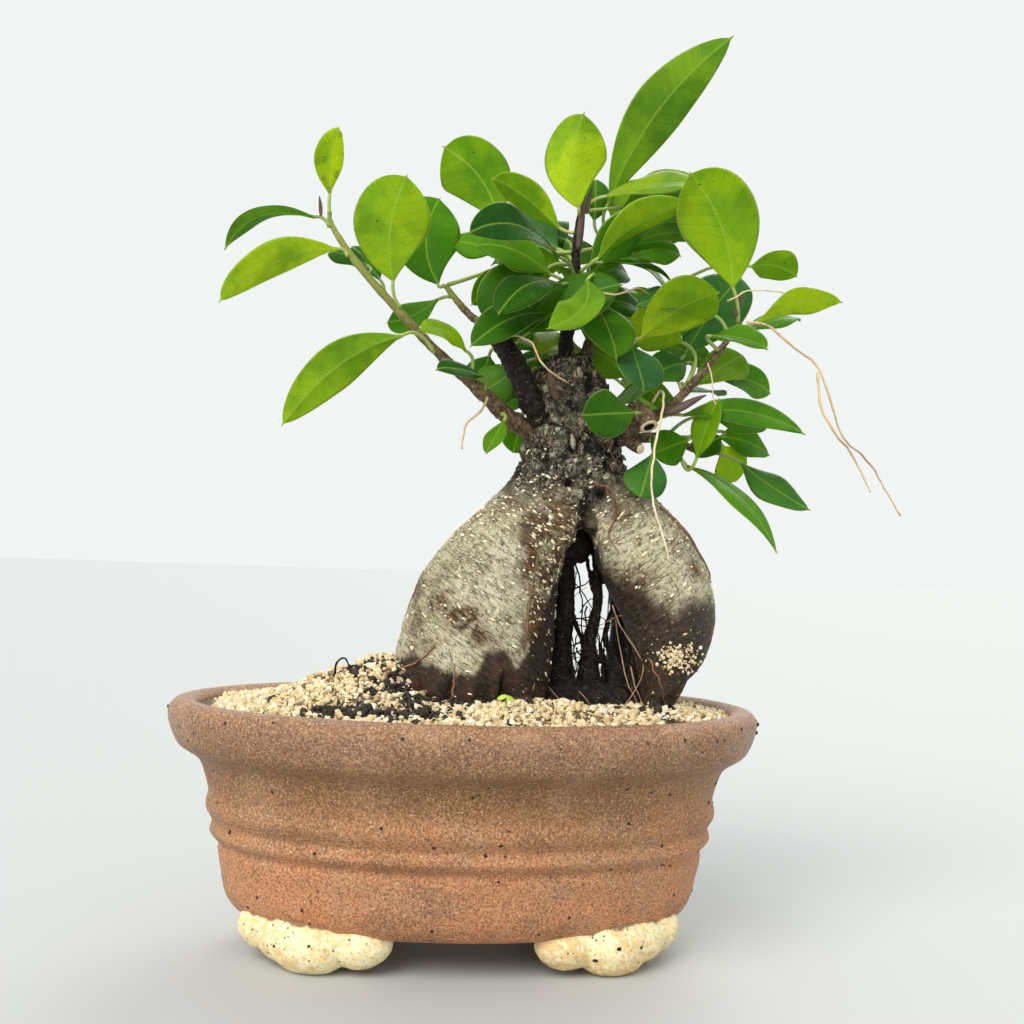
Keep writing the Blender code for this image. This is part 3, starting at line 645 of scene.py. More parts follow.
def skin(rings):
    """Faces of a closed tube over rings of as many points each: quads along it and a fan at each end."""
    count, sides = rings.shape[:2]
    i = np.arange(sides)
    j = (i + 1) % sides
    faces = []
    for k in range(count - 1):
        a, b = k * sides, (k + 1) * sides
        faces += np.stack([a + i, a + j, b + j, b + i], 1).tolist()
    faces.append(list(range(sides))[::-1])
    faces.append([(count - 1) * sides + n for n in range(sides)])
    return faces


def base_lump(level):
    bm = bmesh.new()
    bmesh.ops.create_icosphere(bm, subdivisions=level, radius=1.0)
    points = np.array([v.co for v in bm.verts])
    faces = np.array([[v.index for v in f.verts] for f in bm.faces])
    bm.free()
    return points, faces


def lumps(centres, sizes, normals=None, level=1, jitter=0.25, along=None):
    """Many small closed lumps: points and faces. sizes are half extents along two sides and the normal."""
    base, faces = base_lump(level)
    count = len(centres)
    if normals is None:
        normals = rng.normal(size=(count, 3))
    normals = normals / np.linalg.norm(normals, axis=1)[:, None]
    second = np.cross(normals, rng.normal(size=(count, 3)) if along is None else along)
    second /= np.linalg.norm(second, axis=1)[:, None]
    first = np.cross(second, normals)
    local = base[None] * (1 + jitter * rng.uniform(-1, 1, (count, len(base), 1)))
    local = local * np.asarray(sizes)[:, None, :]
    points = local[..., :1] * first[:, None] + local[..., 1:2] * second[:, None] + local[..., 2:] * normals[:, None]
    points = points + np.asarray(centres)[:, None]
    all_faces = faces[None] + (np.arange(count) * len(base))[:, None, None]
    return points.reshape(-1, 3), all_faces.reshape(-1, 3)


def tree_of(points, faces):
    return BVHTree.FromPolygons([tuple(p) for p in points], [tuple(f) for f in faces])


def node_tree_of(name):
    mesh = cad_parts[name].data
    points = millimetres([v.co for v in mesh.vertices])
    return tree_of(points, [p.vertices for p in mesh.polygons])


# ---------------------------------------------------------------- pot

RIM_HALF_LENGTH, RIM_HALF_WIDTH = 85.0, 54.6
FOOT_VOXEL, TRUNK_VOXEL, ROOT_VOXEL = 0.5, 0.62, 0.6
# (height, how far inside the widest outline) up the outer wall, over the rim and down the inner wall
POT_PROFILE = (
    (9.65, 26.5), (9.65, 25.2), (10.1, 23.4), (11.2, 21.3), (12.9, 19.6), (15.0, 18.3), (18.0, 17.3), (22.0, 16.6),
    (25.4, 15.8), (27.6, 15.5), (29.0, 15.7), (30.2, 15.2), (31.4, 13.9), (32.8, 13.0), (34.2, 13.2), (35.7, 13.6),
    (37.2, 12.9), (39.0, 11.9), (41.0, 11.7), (43.4, 12.3), (46.0, 12.0), (49.3, 11.0), (51.6, 10.2), (53.4, 9.0),
    (55.0, 7.0), (56.2, 5.0), (57.4, 3.4), (59.2, 2.2), (61.5, 1.2), (64.2, 0.4), (66.4, 0.2), (68.2, 0.8), (69.4, 2.0),
    (69.9, 3.4), (70.0, 5.0), (69.6, 6.6), (68.6, 7.9), (66.6, 8.7), (63.5, 9.4), (60.0, 10.5), (56.0, 12.6),
    (50.0, 16.8), (38.0, 18.2), (24.0, 22.3), (18.0, 24.5), (15.4, 27.0), (15.0, 29.0),
)


def apply_modifiers(obj):
    graph = bpy.context.evaluated_depsgraph_get()
    graph.update()
    mesh = bpy.data.meshes.new_from_object(obj.evaluated_get(graph), preserve_all_data_layers=True, depsgraph=graph)
    obj.modifiers.clear()
    obj.data = mesh


def grown(name, parts, voxel, rounds):
    """Overlapping shapes grown into one skin of this voxel size in millimetres: the object, its points and normals."""
    obj = bpy.data.objects.new(name, mesh_of(name, *join_parts(parts)))
    bpy.context.scene.collection.objects.link(obj)
    remesh = obj.modifiers.new("grown_together", "REMESH")
    remesh.mode = "VOXEL"
    remesh.voxel_size = voxel * MM
    rounding = obj.modifiers.new("rounded", "SMOOTH")
    rounding.iterations = rounds
    apply_modifiers(obj)
    return obj, millimetres([v.co for v in obj.data.vertices]), np.array([v.normal for v in obj.data.vertices])


def dress(obj, points, material, slot, replaces=()):
    """Moves the object's points and gives it its material."""
    obj.data.vertices.foreach_set("co", metres(points).ravel())
    obj.data.shade_smooth()
    obj.data.update()
    obj.data.materials.append(material)
    adopt(obj, slot, replaces)


def ball(centre, radii, turn=0.0, level=4):
    base, faces = base_lump(level)
    local = base * np.asarray(radii)
    cos, sin = math.cos(turn), math.sin(turn)
    spun = np.stack([local[:, 0] * cos - local[:, 1] * sin, local[:, 0] * sin + local[:, 1] * cos, local[:, 2]], 1)
    return spun + np.asarray(centre), faces.tolist()


# Each foot's lobes: place, half length and half depth along the pot's edge, half height and height of the middle
FOOT_LOBES = (
    (41.0, 22.0, 12.0, 8.6, 8.6, 7.6),
    (53.2, 12.6, 8.6, 8.0, 7.0, 9.6),
    (28.3, 25.2, 9.6, 6.6, 6.8, 8.4),
    (47.5, 18.5, 9.0, 7.6, 7.6, 8.6),
)
FOOT_TOP = 14.5  # where the feet end inside the pot's floor
FOOT_RING = 24.8  # how far inside the widest outline the feet stand
POT_SIDES = 288
DRAIN_X, DRAIN_RADIUS = 26.0, 6.5


def make_pot():
    profile = catmull(POT_PROFILE, 4)
    angles = 2 * math.pi * np.arange(POT_SIDES) / POT_SIDES
    outward = np.stack([np.cos(angles), np.sin(angles)], 1)
    rim = np.array([RIM_HALF_LENGTH, RIM_HALF_WIDTH])
    rings = np.array([np.column_stack([(rim - inset) * outward, np.full(POT_SIDES, z)]) for z, inset in profile])
    faces = skin(rings)
    points = rings.reshape(-1, 3)
    outward = np.tile(outward, (len(profile), 1))
    loose = smooth_step(10.5, 16, points[:, 2])
    swell = 0.35 * noise_at(points, (0.02, 0.02, 0.05)) + 0.10 * noise_at(points, 0.16) + 0.05 * noise_at(points, 0.6)
    points[:, :2] += outward * (swell * loose)[:, None]
    points[:, 2] += 0.10 * noise_at(points, 0.05, offset=9) * smooth_step(60, 69, points[:, 2])
    pot = new_piece("thrown_pot", points, faces, [stoneware()], "stoneware", ["pot_body"])
    for x in (-DRAIN_X, DRAIN_X):
        bm = bmesh.new()
        radius = DRAIN_RADIUS * MM
        bmesh.ops.create_cone(bm, segments=48, radius1=radius, radius2=radius, depth=0.02, cap_ends=True)
        mesh = bpy.data.meshes.new("drain_drill")
        bm.to_mesh(mesh)
        bm.free()
        drill = bpy.data.objects.new("drain_drill", mesh)
        drill.location = metres((x, 0, 12))
        bpy.context.scene.collection.objects.link(drill)
        cut = pot.modifiers.new("drain", "BOOLEAN")
        cut.object = drill
        cut.solver = "EXACT"
        apply_modifiers(pot)
        bpy.data.objects.remove(drill, do_unlink=True)
    return pot


def make_feet():
    clay = cream_stoneware()
    for across, depth in ((-1, "front"), (1, "back")):
        for along, length in ((-1, "left"), (1, "right")):
            name = "foot_" + depth + "_" + length
            parts = []
            for x, y, half_long, half_deep, half_high, middle in FOOT_LOBES:
                edge = math.atan2(-x * (RIM_HALF_WIDTH - FOOT_RING) ** 2, y * (RIM_HALF_LENGTH - FOOT_RING) ** 2)
                parts.append(
                    ball((along * x, across * y, middle), (half_long, half_deep, half_high), edge * along * across)
                )
            obj, points, normals = grown("cloud_" + name, parts, FOOT_VOXEL, 9)
            amount = 0.30 * noise_at(points, 0.16) + 0.14 * noise_at(points, 0.5) + 0.06 * noise_at(points, 1.4)
            points += normals * amount[:, None]
            points[:, 2] = np.clip(points[:, 2], 0.0, FOOT_TOP)
            dress(obj, points, clay, "cream_stoneware", [name])


# The two legs' shoulders that close the arch's top, with the crease between them: centre and half sizes
SHOULDERS = (((23.5, -6.5, 122.0), (8.5, 9.5, 7.0)), ((39.5, -5.5, 121.5), (7.5, 9.0, 7.5)))
CREASE_X = 31.6
LENTICELS, BARK_PLATES = 1500, 620
# The line under which each leg is wet and dark, left to right
WET_LINE = (
    (-26, 80.0), (-18, 83.5), (-8, 82.0), (0, 80.0), (3, 84.0), (8, 86.5), (12, 82.0), (17, 90.0), (22, 104.0),
    (31, 121.0), (35, 114.5), (39.5, 108.5), (45, 104.5), (50, 101.5), (55, 101.0), (60, 102.5), (64.5, 102.0),
    (73, 97.0),
)
# Brown patches: x, height, their half sizes, how brown and how rusty
STAINS = (
    (-10, 98.5, 2.8, 2.6, 1.8, 0), (-3, 95.0, 5.0, 3.2, 1.7, 0), (1.0, 92.0, 2.5, 3.5, 1.3, 0),
    (62.0, 110.7, 3.0, 4.0, 1.1, 0), (56.0, 98.0, 9.0, 4.5, 0.9, 0.3), (68.0, 92.0, 3.0, 10.0, 0.8, 0.8),
    (-16.5, 101.0, 2.6, 14.0, 1.0, 0), (3.5, 78.0, 5.5, 7.0, 0.3, 1.0), (12.0, 74.0, 4.5, 6.0, 0.3, 0.8),
    (22.0, 117.0, 6.5, 9.0, 1.1, 0.1), (25.0, 125.0, 8.0, 6.0, 1.1, 0.2), (18.5, 94.0, 5.5, 24.0, 1.5, 0.1),
    (12.0, 127.0, 6.0, 4.0, 0.7, 0), (39.0, 126.0, 6.0, 3.5, 0.8, 0.1), (44.0, 107.0, 7.0, 4.0, 0.9, 0.1),
    (-12.0, 74.0, 9.0, 6.0, 0.4, 0.5), (50.0, 78.0, 5.0, 5.0, 0.3, 0.4), (10.0, 131.0, 4.0, 3.0, 0.6, 0),
    (-4.0, 112.0, 3.0, 2.0, 0.5, 0), (47.0, 127.0, 5.0, 3.0, 0.5, 0.1), (-13.0, 88.0, 2.0, 2.0, 0.6, 0),
)
# Rotted pits in the bark: centre, radius and depth
HOLLOWS = ((26.0, -14.0, 134.0, 1.5, 3.5), (34.8, -14.0, 131.0, 2.2, 3.5), (31.3, -12.0, 148.5, 1.0, 2.0))


def paint_node(name, material):
    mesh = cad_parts[name].data
    mesh.materials.clear()
    mesh.materials.append(material)


# ---------------------------------------------------------------- trunk


def pockets_at(points, neck):
    """How far each point lies in one of the pockets of the neck's old bark, which are dented and painted near black as
    shade.
    """
    pockets = smooth_step(0.16, 0.34, noise_at(points, (0.24, 0.24, 0.17), 2, offset=12))
    return pockets * neck * smooth_step(132, 142, points[:, 2])


def make_trunk():
    """The trunk's CAD shape, remeshed finely and given its bark. Returns its points, faces, normals and zones."""
    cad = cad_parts["trunk_and_roots"].data
    cad_points = millimetres([v.co for v in cad.vertices])
    parts = [(cad_points, [list(p.vertices) for p in cad.polygons])]
    parts += [ball(centre, radii) for centre, radii in SHOULDERS]
    obj, points, normals = grown("ginseng_trunk", parts, TRUNK_VOXEL, 12)
    mesh = obj.data
    x, y, z = points.T
    front = smooth_step(2, -4, y)
    ragged = noise_at(points, (0.10, 0.10, 0.07), 3, offset=4)
    neck = smooth_step(127, 137, z + 5 * noise_at(points, 0.09))
    neck = np.maximum(neck, smooth_step(7, 3, np.hypot((x - 31) * 0.7, z - 131)) * front * 0.8)
    base = smooth_step(90, 74, z)
    swell = 0.55 * noise_at(points, 0.05) + 0.35 * noise_at(points, 0.13) + 0.12 * noise_at(points, 0.35)
    wrinkle = 0.15 * noise_at(points, (0.35, 0.35, 1.1)) + 0.10 * noise_at(points, 0.9)
    plates = noise_at(points, (0.21, 0.21, 0.15), offset=3)
    scales = noise_at(points, (0.55, 0.55, 0.7), offset=8)
    crust = 1.5 * noise_at(points, 0.11, offset=2) - 1.6 * np.exp(-((plates / 0.07) ** 2))
    crust += 0.6 * noise_at(points, 0.5, 3) - 0.7 * np.exp(-((scales / 0.10) ** 2)) + 0.25 * noise_at(points, 1.8)
    flute = -2.0 * (1 - np.abs(noise_at(points, (0.13, 0.13, 0.03), offset=7)) * 2.4).clip(0, 1) ** 3
    crease = -5.0 * np.exp(-(((x - CREASE_X - 0.6 * ragged) / 1.7) ** 2))
    crease *= smooth_step(106, 113, z) * smooth_step(136, 126, z)
    cleft = -3.0 * np.exp(-(((x - 8.5 - 0.8 * ragged) / 0.8) ** 2)) * smooth_step(84, 76, z)
    amount = swell + wrinkle * (1 - neck) + crust * neck + flute * base + (crease + cleft) * front
    holes = np.zeros(len(points))
    for hx, _, hz, radius, depth in HOLLOWS:
        near = np.exp(-(((x - hx) / radius) ** 2) - (((z - hz) / radius) ** 2)) * front
        amount -= depth * near
        holes = np.maximum(holes, near)
    amount -= 1.3 * pockets_at(points, neck)
    points += normals * amount[:, None]
    dress(obj, points, bark(), "bark", ["trunk_and_roots"])
    line = np.interp(x, *zip(*WET_LINE)) + 2.2 * ragged + 1.1 * noise_at(points, 0.32, 3)
    soft = np.where(x > 30, 4.0, 1.2)
    wet_and_shade = np.clip((line - z) / soft * 0.5 + 0.5, 0, 1)
    wet_and_shade = wet_and_shade * wet_and_shade * (3 - 2 * wet_and_shade) * 0.96
    # Painted shade: the arch's back is painted wet-dark and near black; the crease, the arch's front inside, the
    # hollows and the neck's pockets near black.
    behind = smooth_step(3, 10, y) * smooth_step(22, 26, x) * smooth_step(122, 112, z)
    wet_and_shade = np.maximum(wet_and_shade, behind)
    black = behind * 0.75
    black = np.maximum(black, np.exp(-(((x - CREASE_X) / 1.3) ** 2)) * smooth_step(134, 124, z) * front * 0.9)
    inside = smooth_step(-7, -2, y) * smooth_step(22, 25, x) * smooth_step(50, 42, x) * smooth_step(119, 114, z)
    black = np.maximum(np.maximum(np.maximum(black, inside * 0.9), holes), pockets_at(points, neck) * 0.85)
    brown, rusty = 0.10 + 0.80 * smooth_step(12, 20, x) * smooth_step(34, 31, x), np.zeros(len(points))
    for sx, sz, half_x, half_z, how_brown, how_rusty in STAINS:
        near = np.exp(-(((x - sx) / half_x) ** 2) - (((z - sz) / half_z) ** 2) + 0.9 * ragged).clip(0, 1)
        near *= smooth_step(6, 0, y)
        brown = np.maximum(brown, how_brown * near)
        rusty = np.maximum(rusty, how_rusty * near)
    brown = np.maximum(brown, smooth_step(118, 132, z) * 0.45)
    brown = np.maximum(brown, 0.5 * smooth_step(0.15, 0.5, ragged))
    inner_side = smooth_step(10.5, 15.5, x + 3.5 * ragged + 1.5 * noise_at(points, 0.3, offset=6))
    inner_side *= smooth_step(33, 31, x)
    brown = np.maximum(brown, 0.95 * inner_side * smooth_step(131, 123, z) * front).clip(0, 1)
    right = smooth_step(28, 34, x)
    head = np.exp(-(((x - 30) / 6.5) ** 2) - (((z - 156) / 5.5) ** 2)) * front
    set_attribute(obj, "head", head)
    zone = np.stack([wet_and_shade, neck * 0.97, black], 1)
    set_attribute(obj, "zone", zone, "FLOAT_VECTOR")
    set_attribute(obj, "stain", np.stack([brown, rusty, right], 1), "FLOAT_VECTOR")
    faces = [tuple(p.vertices) for p in mesh.polygons]
    return points, faces, np.array([v.normal for v in mesh.vertices]), zone


def make_lenticels(trunk):
    """Cork pores that stand proud of the bark, densest beside the arch and on the neck's foot."""
    points, _, normals, zone = trunk
    x, _, z = points.T
    weight = 0.22 + 1.6 * np.exp(-(((x - 19) / 6) ** 2) - ((z - 112) / 24) ** 2) + 0.9 * np.exp(-((z - 125) / 8) ** 2)
    weight += 0.25 * np.exp(-(((x + 2) / 10) ** 2) - ((z - 90) / 10) ** 2)
    weight *= (z > 71) * (1 - 0.6 * zone[:, 0]) * (1 - 0.9 * zone[:, 2]) * smooth_step(160, 140, z)
    chosen = rng.choice(len(points), LENTICELS, replace=False, p=weight / weight.sum())
    size = 0.15 + 0.27 * rng.random((len(chosen), 1)) ** 2.0
    sizes = np.hstack([size * rng.uniform(1.1, 3.4, (len(chosen), 1)), size, size * 0.8])
    slope = np.where(x[chosen] > 31, 0.7, -0.6)
    along = np.stack([np.ones(len(chosen)), np.zeros(len(chosen)), slope + rng.normal(0, 0.3, len(chosen))], 1)
    dots, dot_faces = lumps(points[chosen] + normals[chosen] * 0.05, sizes, normals[chosen], 1, 0.15, along)
    new_piece("bark_lenticels", dots, dot_faces, [corky()], "bark")


def make_bark_plates(trunk):
    """Loose plates and knobs of old bark round the neck, thickest at its top."""
    points, _, normals, zone = trunk
    weight = (0.35 + 1.3 * smooth_step(140, 156, points[:, 2])) * zone[:, 1]
    chosen = rng.choice(len(points), BARK_PLATES, replace=False, p=weight / weight.sum())
    size = 0.40 + 1.35 * rng.random((len(chosen), 1)) ** 2.2
    long, wide = rng.uniform(0.8, 1.7, (len(chosen), 1)), rng.uniform(0.5, 1.1, (len(chosen), 1))
    sizes = size * np.hstack([long, wide, np.full((len(chosen), 1), 0.42)])
    along = np.stack([rng.normal(0, 0.5, len(chosen)), np.zeros(len(chosen)), np.ones(len(chosen))], 1)
    plates, plate_faces = lumps(points[chosen] - normals[chosen] * 0.1, sizes, normals[chosen], 2, 0.3, along)
    new_piece("bark_plates", plates, plate_faces, [bark_plate()], "bark")


# ---------------------------------------------------------------- sand and soil

SAND_GRAINS = 11000  # places tried for grains, before the bare patches
SOIL_CRUMBS = 3600  # places tried for crumbs, most of them outside the bare patches
STUCK_GRAINS, POT_CRUMBS = 150, 120
SAND_EDGE_INSET = 8.9  # how far inside the pot's widest outline the sand ends
SAND_LEFT_END = -71  # past this x the soil is bare
WATER_DROPS, WATER_IOR = 9, 1.33
RIM_CRUMBS = ((83.2, -8.0, 67.4), (83.4, -9.4, 66.3), (84.0, -6.5, 65.6), (82.6, -11.0, 64.2), (-84.0, -5.0, 67.0))
# Patches where dark soil shows through the sand: centre and spread
SOIL_PATCHES = (
    (-38, -32, 8, 2.4), (-26, -34, 9, 2.8), (-14, -35, 8, 4.0), (-15, -25, 6, 5), (-22, -20, 4, 4), (-4, -27, 6, 3),
    (-17, -9, 2.5, 5), (56, -30, 5, 2.2), (14, -27, 6, 1.8), (40, -24, 8, 1.8), (-31, -12, 2.5, 2.5),
)
# A heap of soil and sand against the left leg: centre and half sizes
HEAP = ((-24.0, -7.0, 74.0), (11.0, 12.0, 8.6))


def scatter_ground(count, heap):
    """Random places on the surface of the sand and of the heap on it."""
    sand, mound = node_tree_of("sand_top_dressing"), tree_of(*heap)
    half = np.array([RIM_HALF_LENGTH - SAND_EDGE_INSET, RIM_HALF_WIDTH - SAND_EDGE_INSET])
    found = []
    while len(found) < count:
        x, y = rng.uniform(-1, 1, 2)
        if x * x + y * y > 1:
            continue
        start = Vector((x * half[0], y * half[1], 120))
        hits = [hit for hit in (tree.ray_cast(start, Vector((0, 0, -1))) for tree in (sand, mound)) if hit[0]]
        if not hits:
            continue
        top = max(hits, key=lambda hit: hit[0].z)
        bare = SAND_LEFT_END + 2.5 * noise.noise(top[0] * 0.3)
        if top[0].z > 66 and top[1].z > 0.2 and top[0].x > bare:
            found.append(tuple(top[0]))
    return np.array(found)


def make_stuck_grains(trunk):
    """Sand that stuck to the wet right leg."""
    points, _, normals, _ = trunk
    x, y, z = points.T
    weight = np.exp(-(((x - 56.5) / 3.6) ** 2) - (((z - 86) / 2.6) ** 2)) * (y < -10)
    chosen = rng.choice(len(points), STUCK_GRAINS, replace=False, p=weight / weight.sum())
    size = 0.22 + 0.40 * rng.random((len(chosen), 1)) ** 1.5
    sizes = size * rng.uniform(0.7, 1.2, (len(chosen), 3))
    grains, grain_faces = lumps(points[chosen] + normals[chosen] * 0.2, sizes, None, 1, 0.22)
    new_piece("stuck_sand_grains", grains, grain_faces, [sand_grain()], "sand", smooth=False)


def make_pot_crumbs(pot):
    """Soil specks that stuck to the pot's wall and rim."""
    points = millimetres([v.co for v in pot.data.vertices])
    normals = np.array([v.normal for v in pot.data.vertices])
    radial = np.hypot(points[:, 0] / RIM_HALF_LENGTH, points[:, 1] / RIM_HALF_WIDTH)
    outside = (points[:, 2] > 13) & ((radial > 0.97) | (points[:, 2] < 56)) & (radial > 0.68)
    outside &= (normals[:, :2] * points[:, :2]).sum(1) > 0
    chosen = rng.choice(np.flatnonzero(outside), POT_CRUMBS, replace=False)
    size = 0.12 + 0.42 * rng.random((len(chosen), 1)) ** 3
    sizes = size * rng.uniform((0.6, 0.6, 0.4), (1.3, 1.3, 0.8), (len(chosen), 3))
    centres = np.vstack([points[chosen] + normals[chosen] * 0.05, RIM_CRUMBS])
    sizes = np.vstack([sizes, rng.uniform(0.45, 0.8, (len(RIM_CRUMBS), 3))])
    crumbs, crumb_faces = lumps(centres, sizes, np.vstack([normals[chosen], RIM_CRUMBS]), 2, 0.3)
    new_piece("pot_crumbs", crumbs, crumb_faces, [soil()], "soil")


def make_sprout():
    """A seedling in the sand: a short stalk and two seed leaves."""
    t = Tree("sprout_green", 0.4)
    colour = t.mix(t.noise(900, 3), (0.30, 0.48, 0.03), (0.52, 0.62, 0.08))
    material = t.finish(colour, None, t.bump(t.noise(2500, 3), 0.05, 0.5))
    root = np.array((7.8, -37.0, 73.0))
    stalk = strand((root, root + (0.3, -0.3, 1.4), root + (0.1, -0.6, 2.6)), 0.28, 5, 8, 0.0, 0.8)
    tip = root + (0.1, -0.6, 2.5)
    leaves = lumps(
        np.array([tip + (-1.1, -0.4, 0.3), tip + (1.0, -0.5, 0.2)]),
        np.array([(1.35, 0.85, 0.25), (1.25, 0.8, 0.25)]),
        np.array([(-0.4, -0.7, 0.8), (0.4, -0.6, 0.8)]),
        3,
        0.0,
        np.array([(1, 0, 0.4), (1, 0, -0.4)]),
    )
    new_piece("sand_sprout", *join_parts([stalk, leaves]), [material], "leaf")


# The pale face of the cut stub: centre, half sizes and where it faces
CUT_FACE = ((45.6, -15.8, 144.1), (1.35, 1.35, 0.35), (0.45, -0.8, -0.3))


def make_wood_details():
    """The cut stub's pale disc, the torn bark at the crown and the brown scales that shed from buds."""
    disc = strand(((43.0, -11.5, 146.5), (44.2, -13.2, 145.2), (45.3, -15.2, 144.3)), 1.55, 6, 20, 0.1, 0.9)
    wood = twig_bark()
    collar = new_piece("cut_stub", disc[0], disc[1], [wood], "twig")
    set_attribute(collar, "green", np.zeros(len(disc[0])))
    place, size, facing = (np.array([row]) for row in CUT_FACE)
    new_piece("cut_stub_face", *lumps(place, size, facing, 3, 0.04), [cut_wood()], "twig")
    husk = root_skin("bud_husk", (0.11, 0.058, 0.034), (0.035, 0.018, 0.012))
    scales = [
        scale_leaf((27.6, -3.4, 203), (28.6, -5.0, 219), 2.6, (0, -1, 0.1), 60),
        scale_leaf((29.6, -3.0, 214), (31.0, -4.2, 222), 1.6, (0.3, -1, 0.1), 50),
        scale_leaf((52.5, -11.5, 155.5), (64.5, -14.0, 160.5), 3.6, (0, -0.8, 0.6), 55),
        scale_leaf((21.5, -11.0, 157.5), (19.0, -13.0, 165.5), 4.5, (-0.4, -0.9, 0.1), 75),
        scale_leaf((19.0, -12.0, 161.5), (24.0, -13.0, 160.0), 3.2, (0, -0.9, -0.4), 80),
        scale_leaf((-47.2, -8.0, 207.5), (-47.9, -8.6, 213.0), 1.2, (-0.3, -0.9, 0.1), 40),
        scale_leaf((72.8, -12.5, 184.0), (74.5, -14.0, 191.0), 1.8, (0.2, -1, 0.1), 50),
    ]
    new_piece("bud_scales", *join_parts(scales), [husk], "twig")


def scale_leaf(base, tip, width, face, curl):
    """A small dry scale, bent across by curl degrees on each side."""
    base, tip = np.array(base, float), np.array(tip, float)
    along = unit(tip - base)
    up = unit(np.array(face, float) - along * np.dot(face, along))
    across = np.cross(along, up)
    t = np.linspace(0, 1, 14)
    half = width / 2 * np.sin(math.pi * (0.10 + 0.88 * t) ** 0.8) ** 0.8 + 0.05
    u = np.concatenate([np.linspace(-1, 1, 9), np.linspace(1, -1, 9)[1:-1]])
    side = np.concatenate([np.ones(9), -np.ones(7)])
    rings = []
    for k, share in enumerate(t):
        turn = math.radians(curl) * u
        sweep = half[k] / math.radians(curl)
        wave = 0.10 * width * math.sin(5 * share + width)
        ring = base + along * (share * np.linalg.norm(tip - base)) + np.outer(sweep * np.sin(turn), across)
        ring = ring + np.outer(wave - sweep * (1 - np.cos(turn)) + 0.16 * side * np.sqrt(1 - 0.8 * u * u), up)
        rings.append(ring)
    rings = np.array(rings)
    return rings.reshape(-1, 3), skin(rings)


def make_drops(leaf):
    """Water drops on the young leaf's upper side."""
    mesh = leaf.data
    uppers = [p for p in mesh.polygons if p.material_index == 0]
    chosen = rng.choice(len(uppers), WATER_DROPS, replace=False)
    centres = millimetres([uppers[i].center for i in chosen])
    normals = np.array([uppers[i].normal for i in chosen])
    size = rng.uniform(0.35, 0.75, (WATER_DROPS, 1))
    points, faces = lumps(centres, np.hstack([size, size * 1.1, size * 0.6]), normals, 3, 0.0)
    t = Tree("water_drop", 0.03)
    water = t.finish(t.mix(t.noise(900, 2), (0.93, 1.0, 0.90), (1.0, 1.0, 0.96)))
    t.shader.inputs["Transmission Weight"].default_value = 1.0
    t.shader.inputs["IOR"].default_value = WATER_IOR
    new_piece("water_drops", points, faces, [water], "leaf")


def patch_share(points):
    share = np.zeros(len(points))
    for cx, cy, spread_x, spread_y in SOIL_PATCHES:
        near = np.exp(-(((points[:, 0] - cx) / spread_x) ** 2) - ((points[:, 1] - cy) / spread_y) ** 2)
        share = np.maximum(share, near)
    return share


def make_ground():
    paint_node("sand_top_dressing", sand_bed())
    paint_node("potting_soil", soil())
    heap_points, heap_faces = ball(*HEAP)
    heap_points += 0.9 * np.stack([noise_at(heap_points, 0.25, offset=o) for o in (1, 5, 9)], 1)
    heap = heap_points, heap_faces
    new_piece("heaped_soil", *heap, [soil()], "soil")
    places = scatter_ground(SAND_GRAINS, heap)
    share = patch_share(places)
    keep = rng.random(len(places)) > share * 0.92
    grains = places[keep]
    size = 0.40 + 0.95 * rng.random((len(grains), 1)) ** 2.4
    sizes = size * rng.uniform(0.5, 1.3, (len(grains), 3))
    grains[:, 2] += rng.uniform(-0.25, 0.8, len(grains))
    points, faces = lumps(grains, sizes, None, 1, 0.36)
    new_piece("sand_grains", points, faces, [sand_grain()], "sand", smooth=False)
    crumbs = places[~keep]
    more = scatter_ground(SOIL_CRUMBS, heap)
    more = more[rng.random(len(more)) < patch_share(more) * 0.95 + 0.012]
    crumbs = np.vstack([crumbs, more])
    size = 0.25 + 0.85 * rng.random((len(crumbs), 1)) ** 2
    sizes = size * rng.uniform(0.5, 1.4, (len(crumbs), 3))
    crumbs[:, 2] += rng.uniform(0.1, 1.0, len(crumbs))
    points, faces = lumps(crumbs, sizes, None, 2, 0.32)
    new_piece("soil_crumbs", points, faces, [soil()], "soil")


# ---------------------------------------------------------------- stems and roots

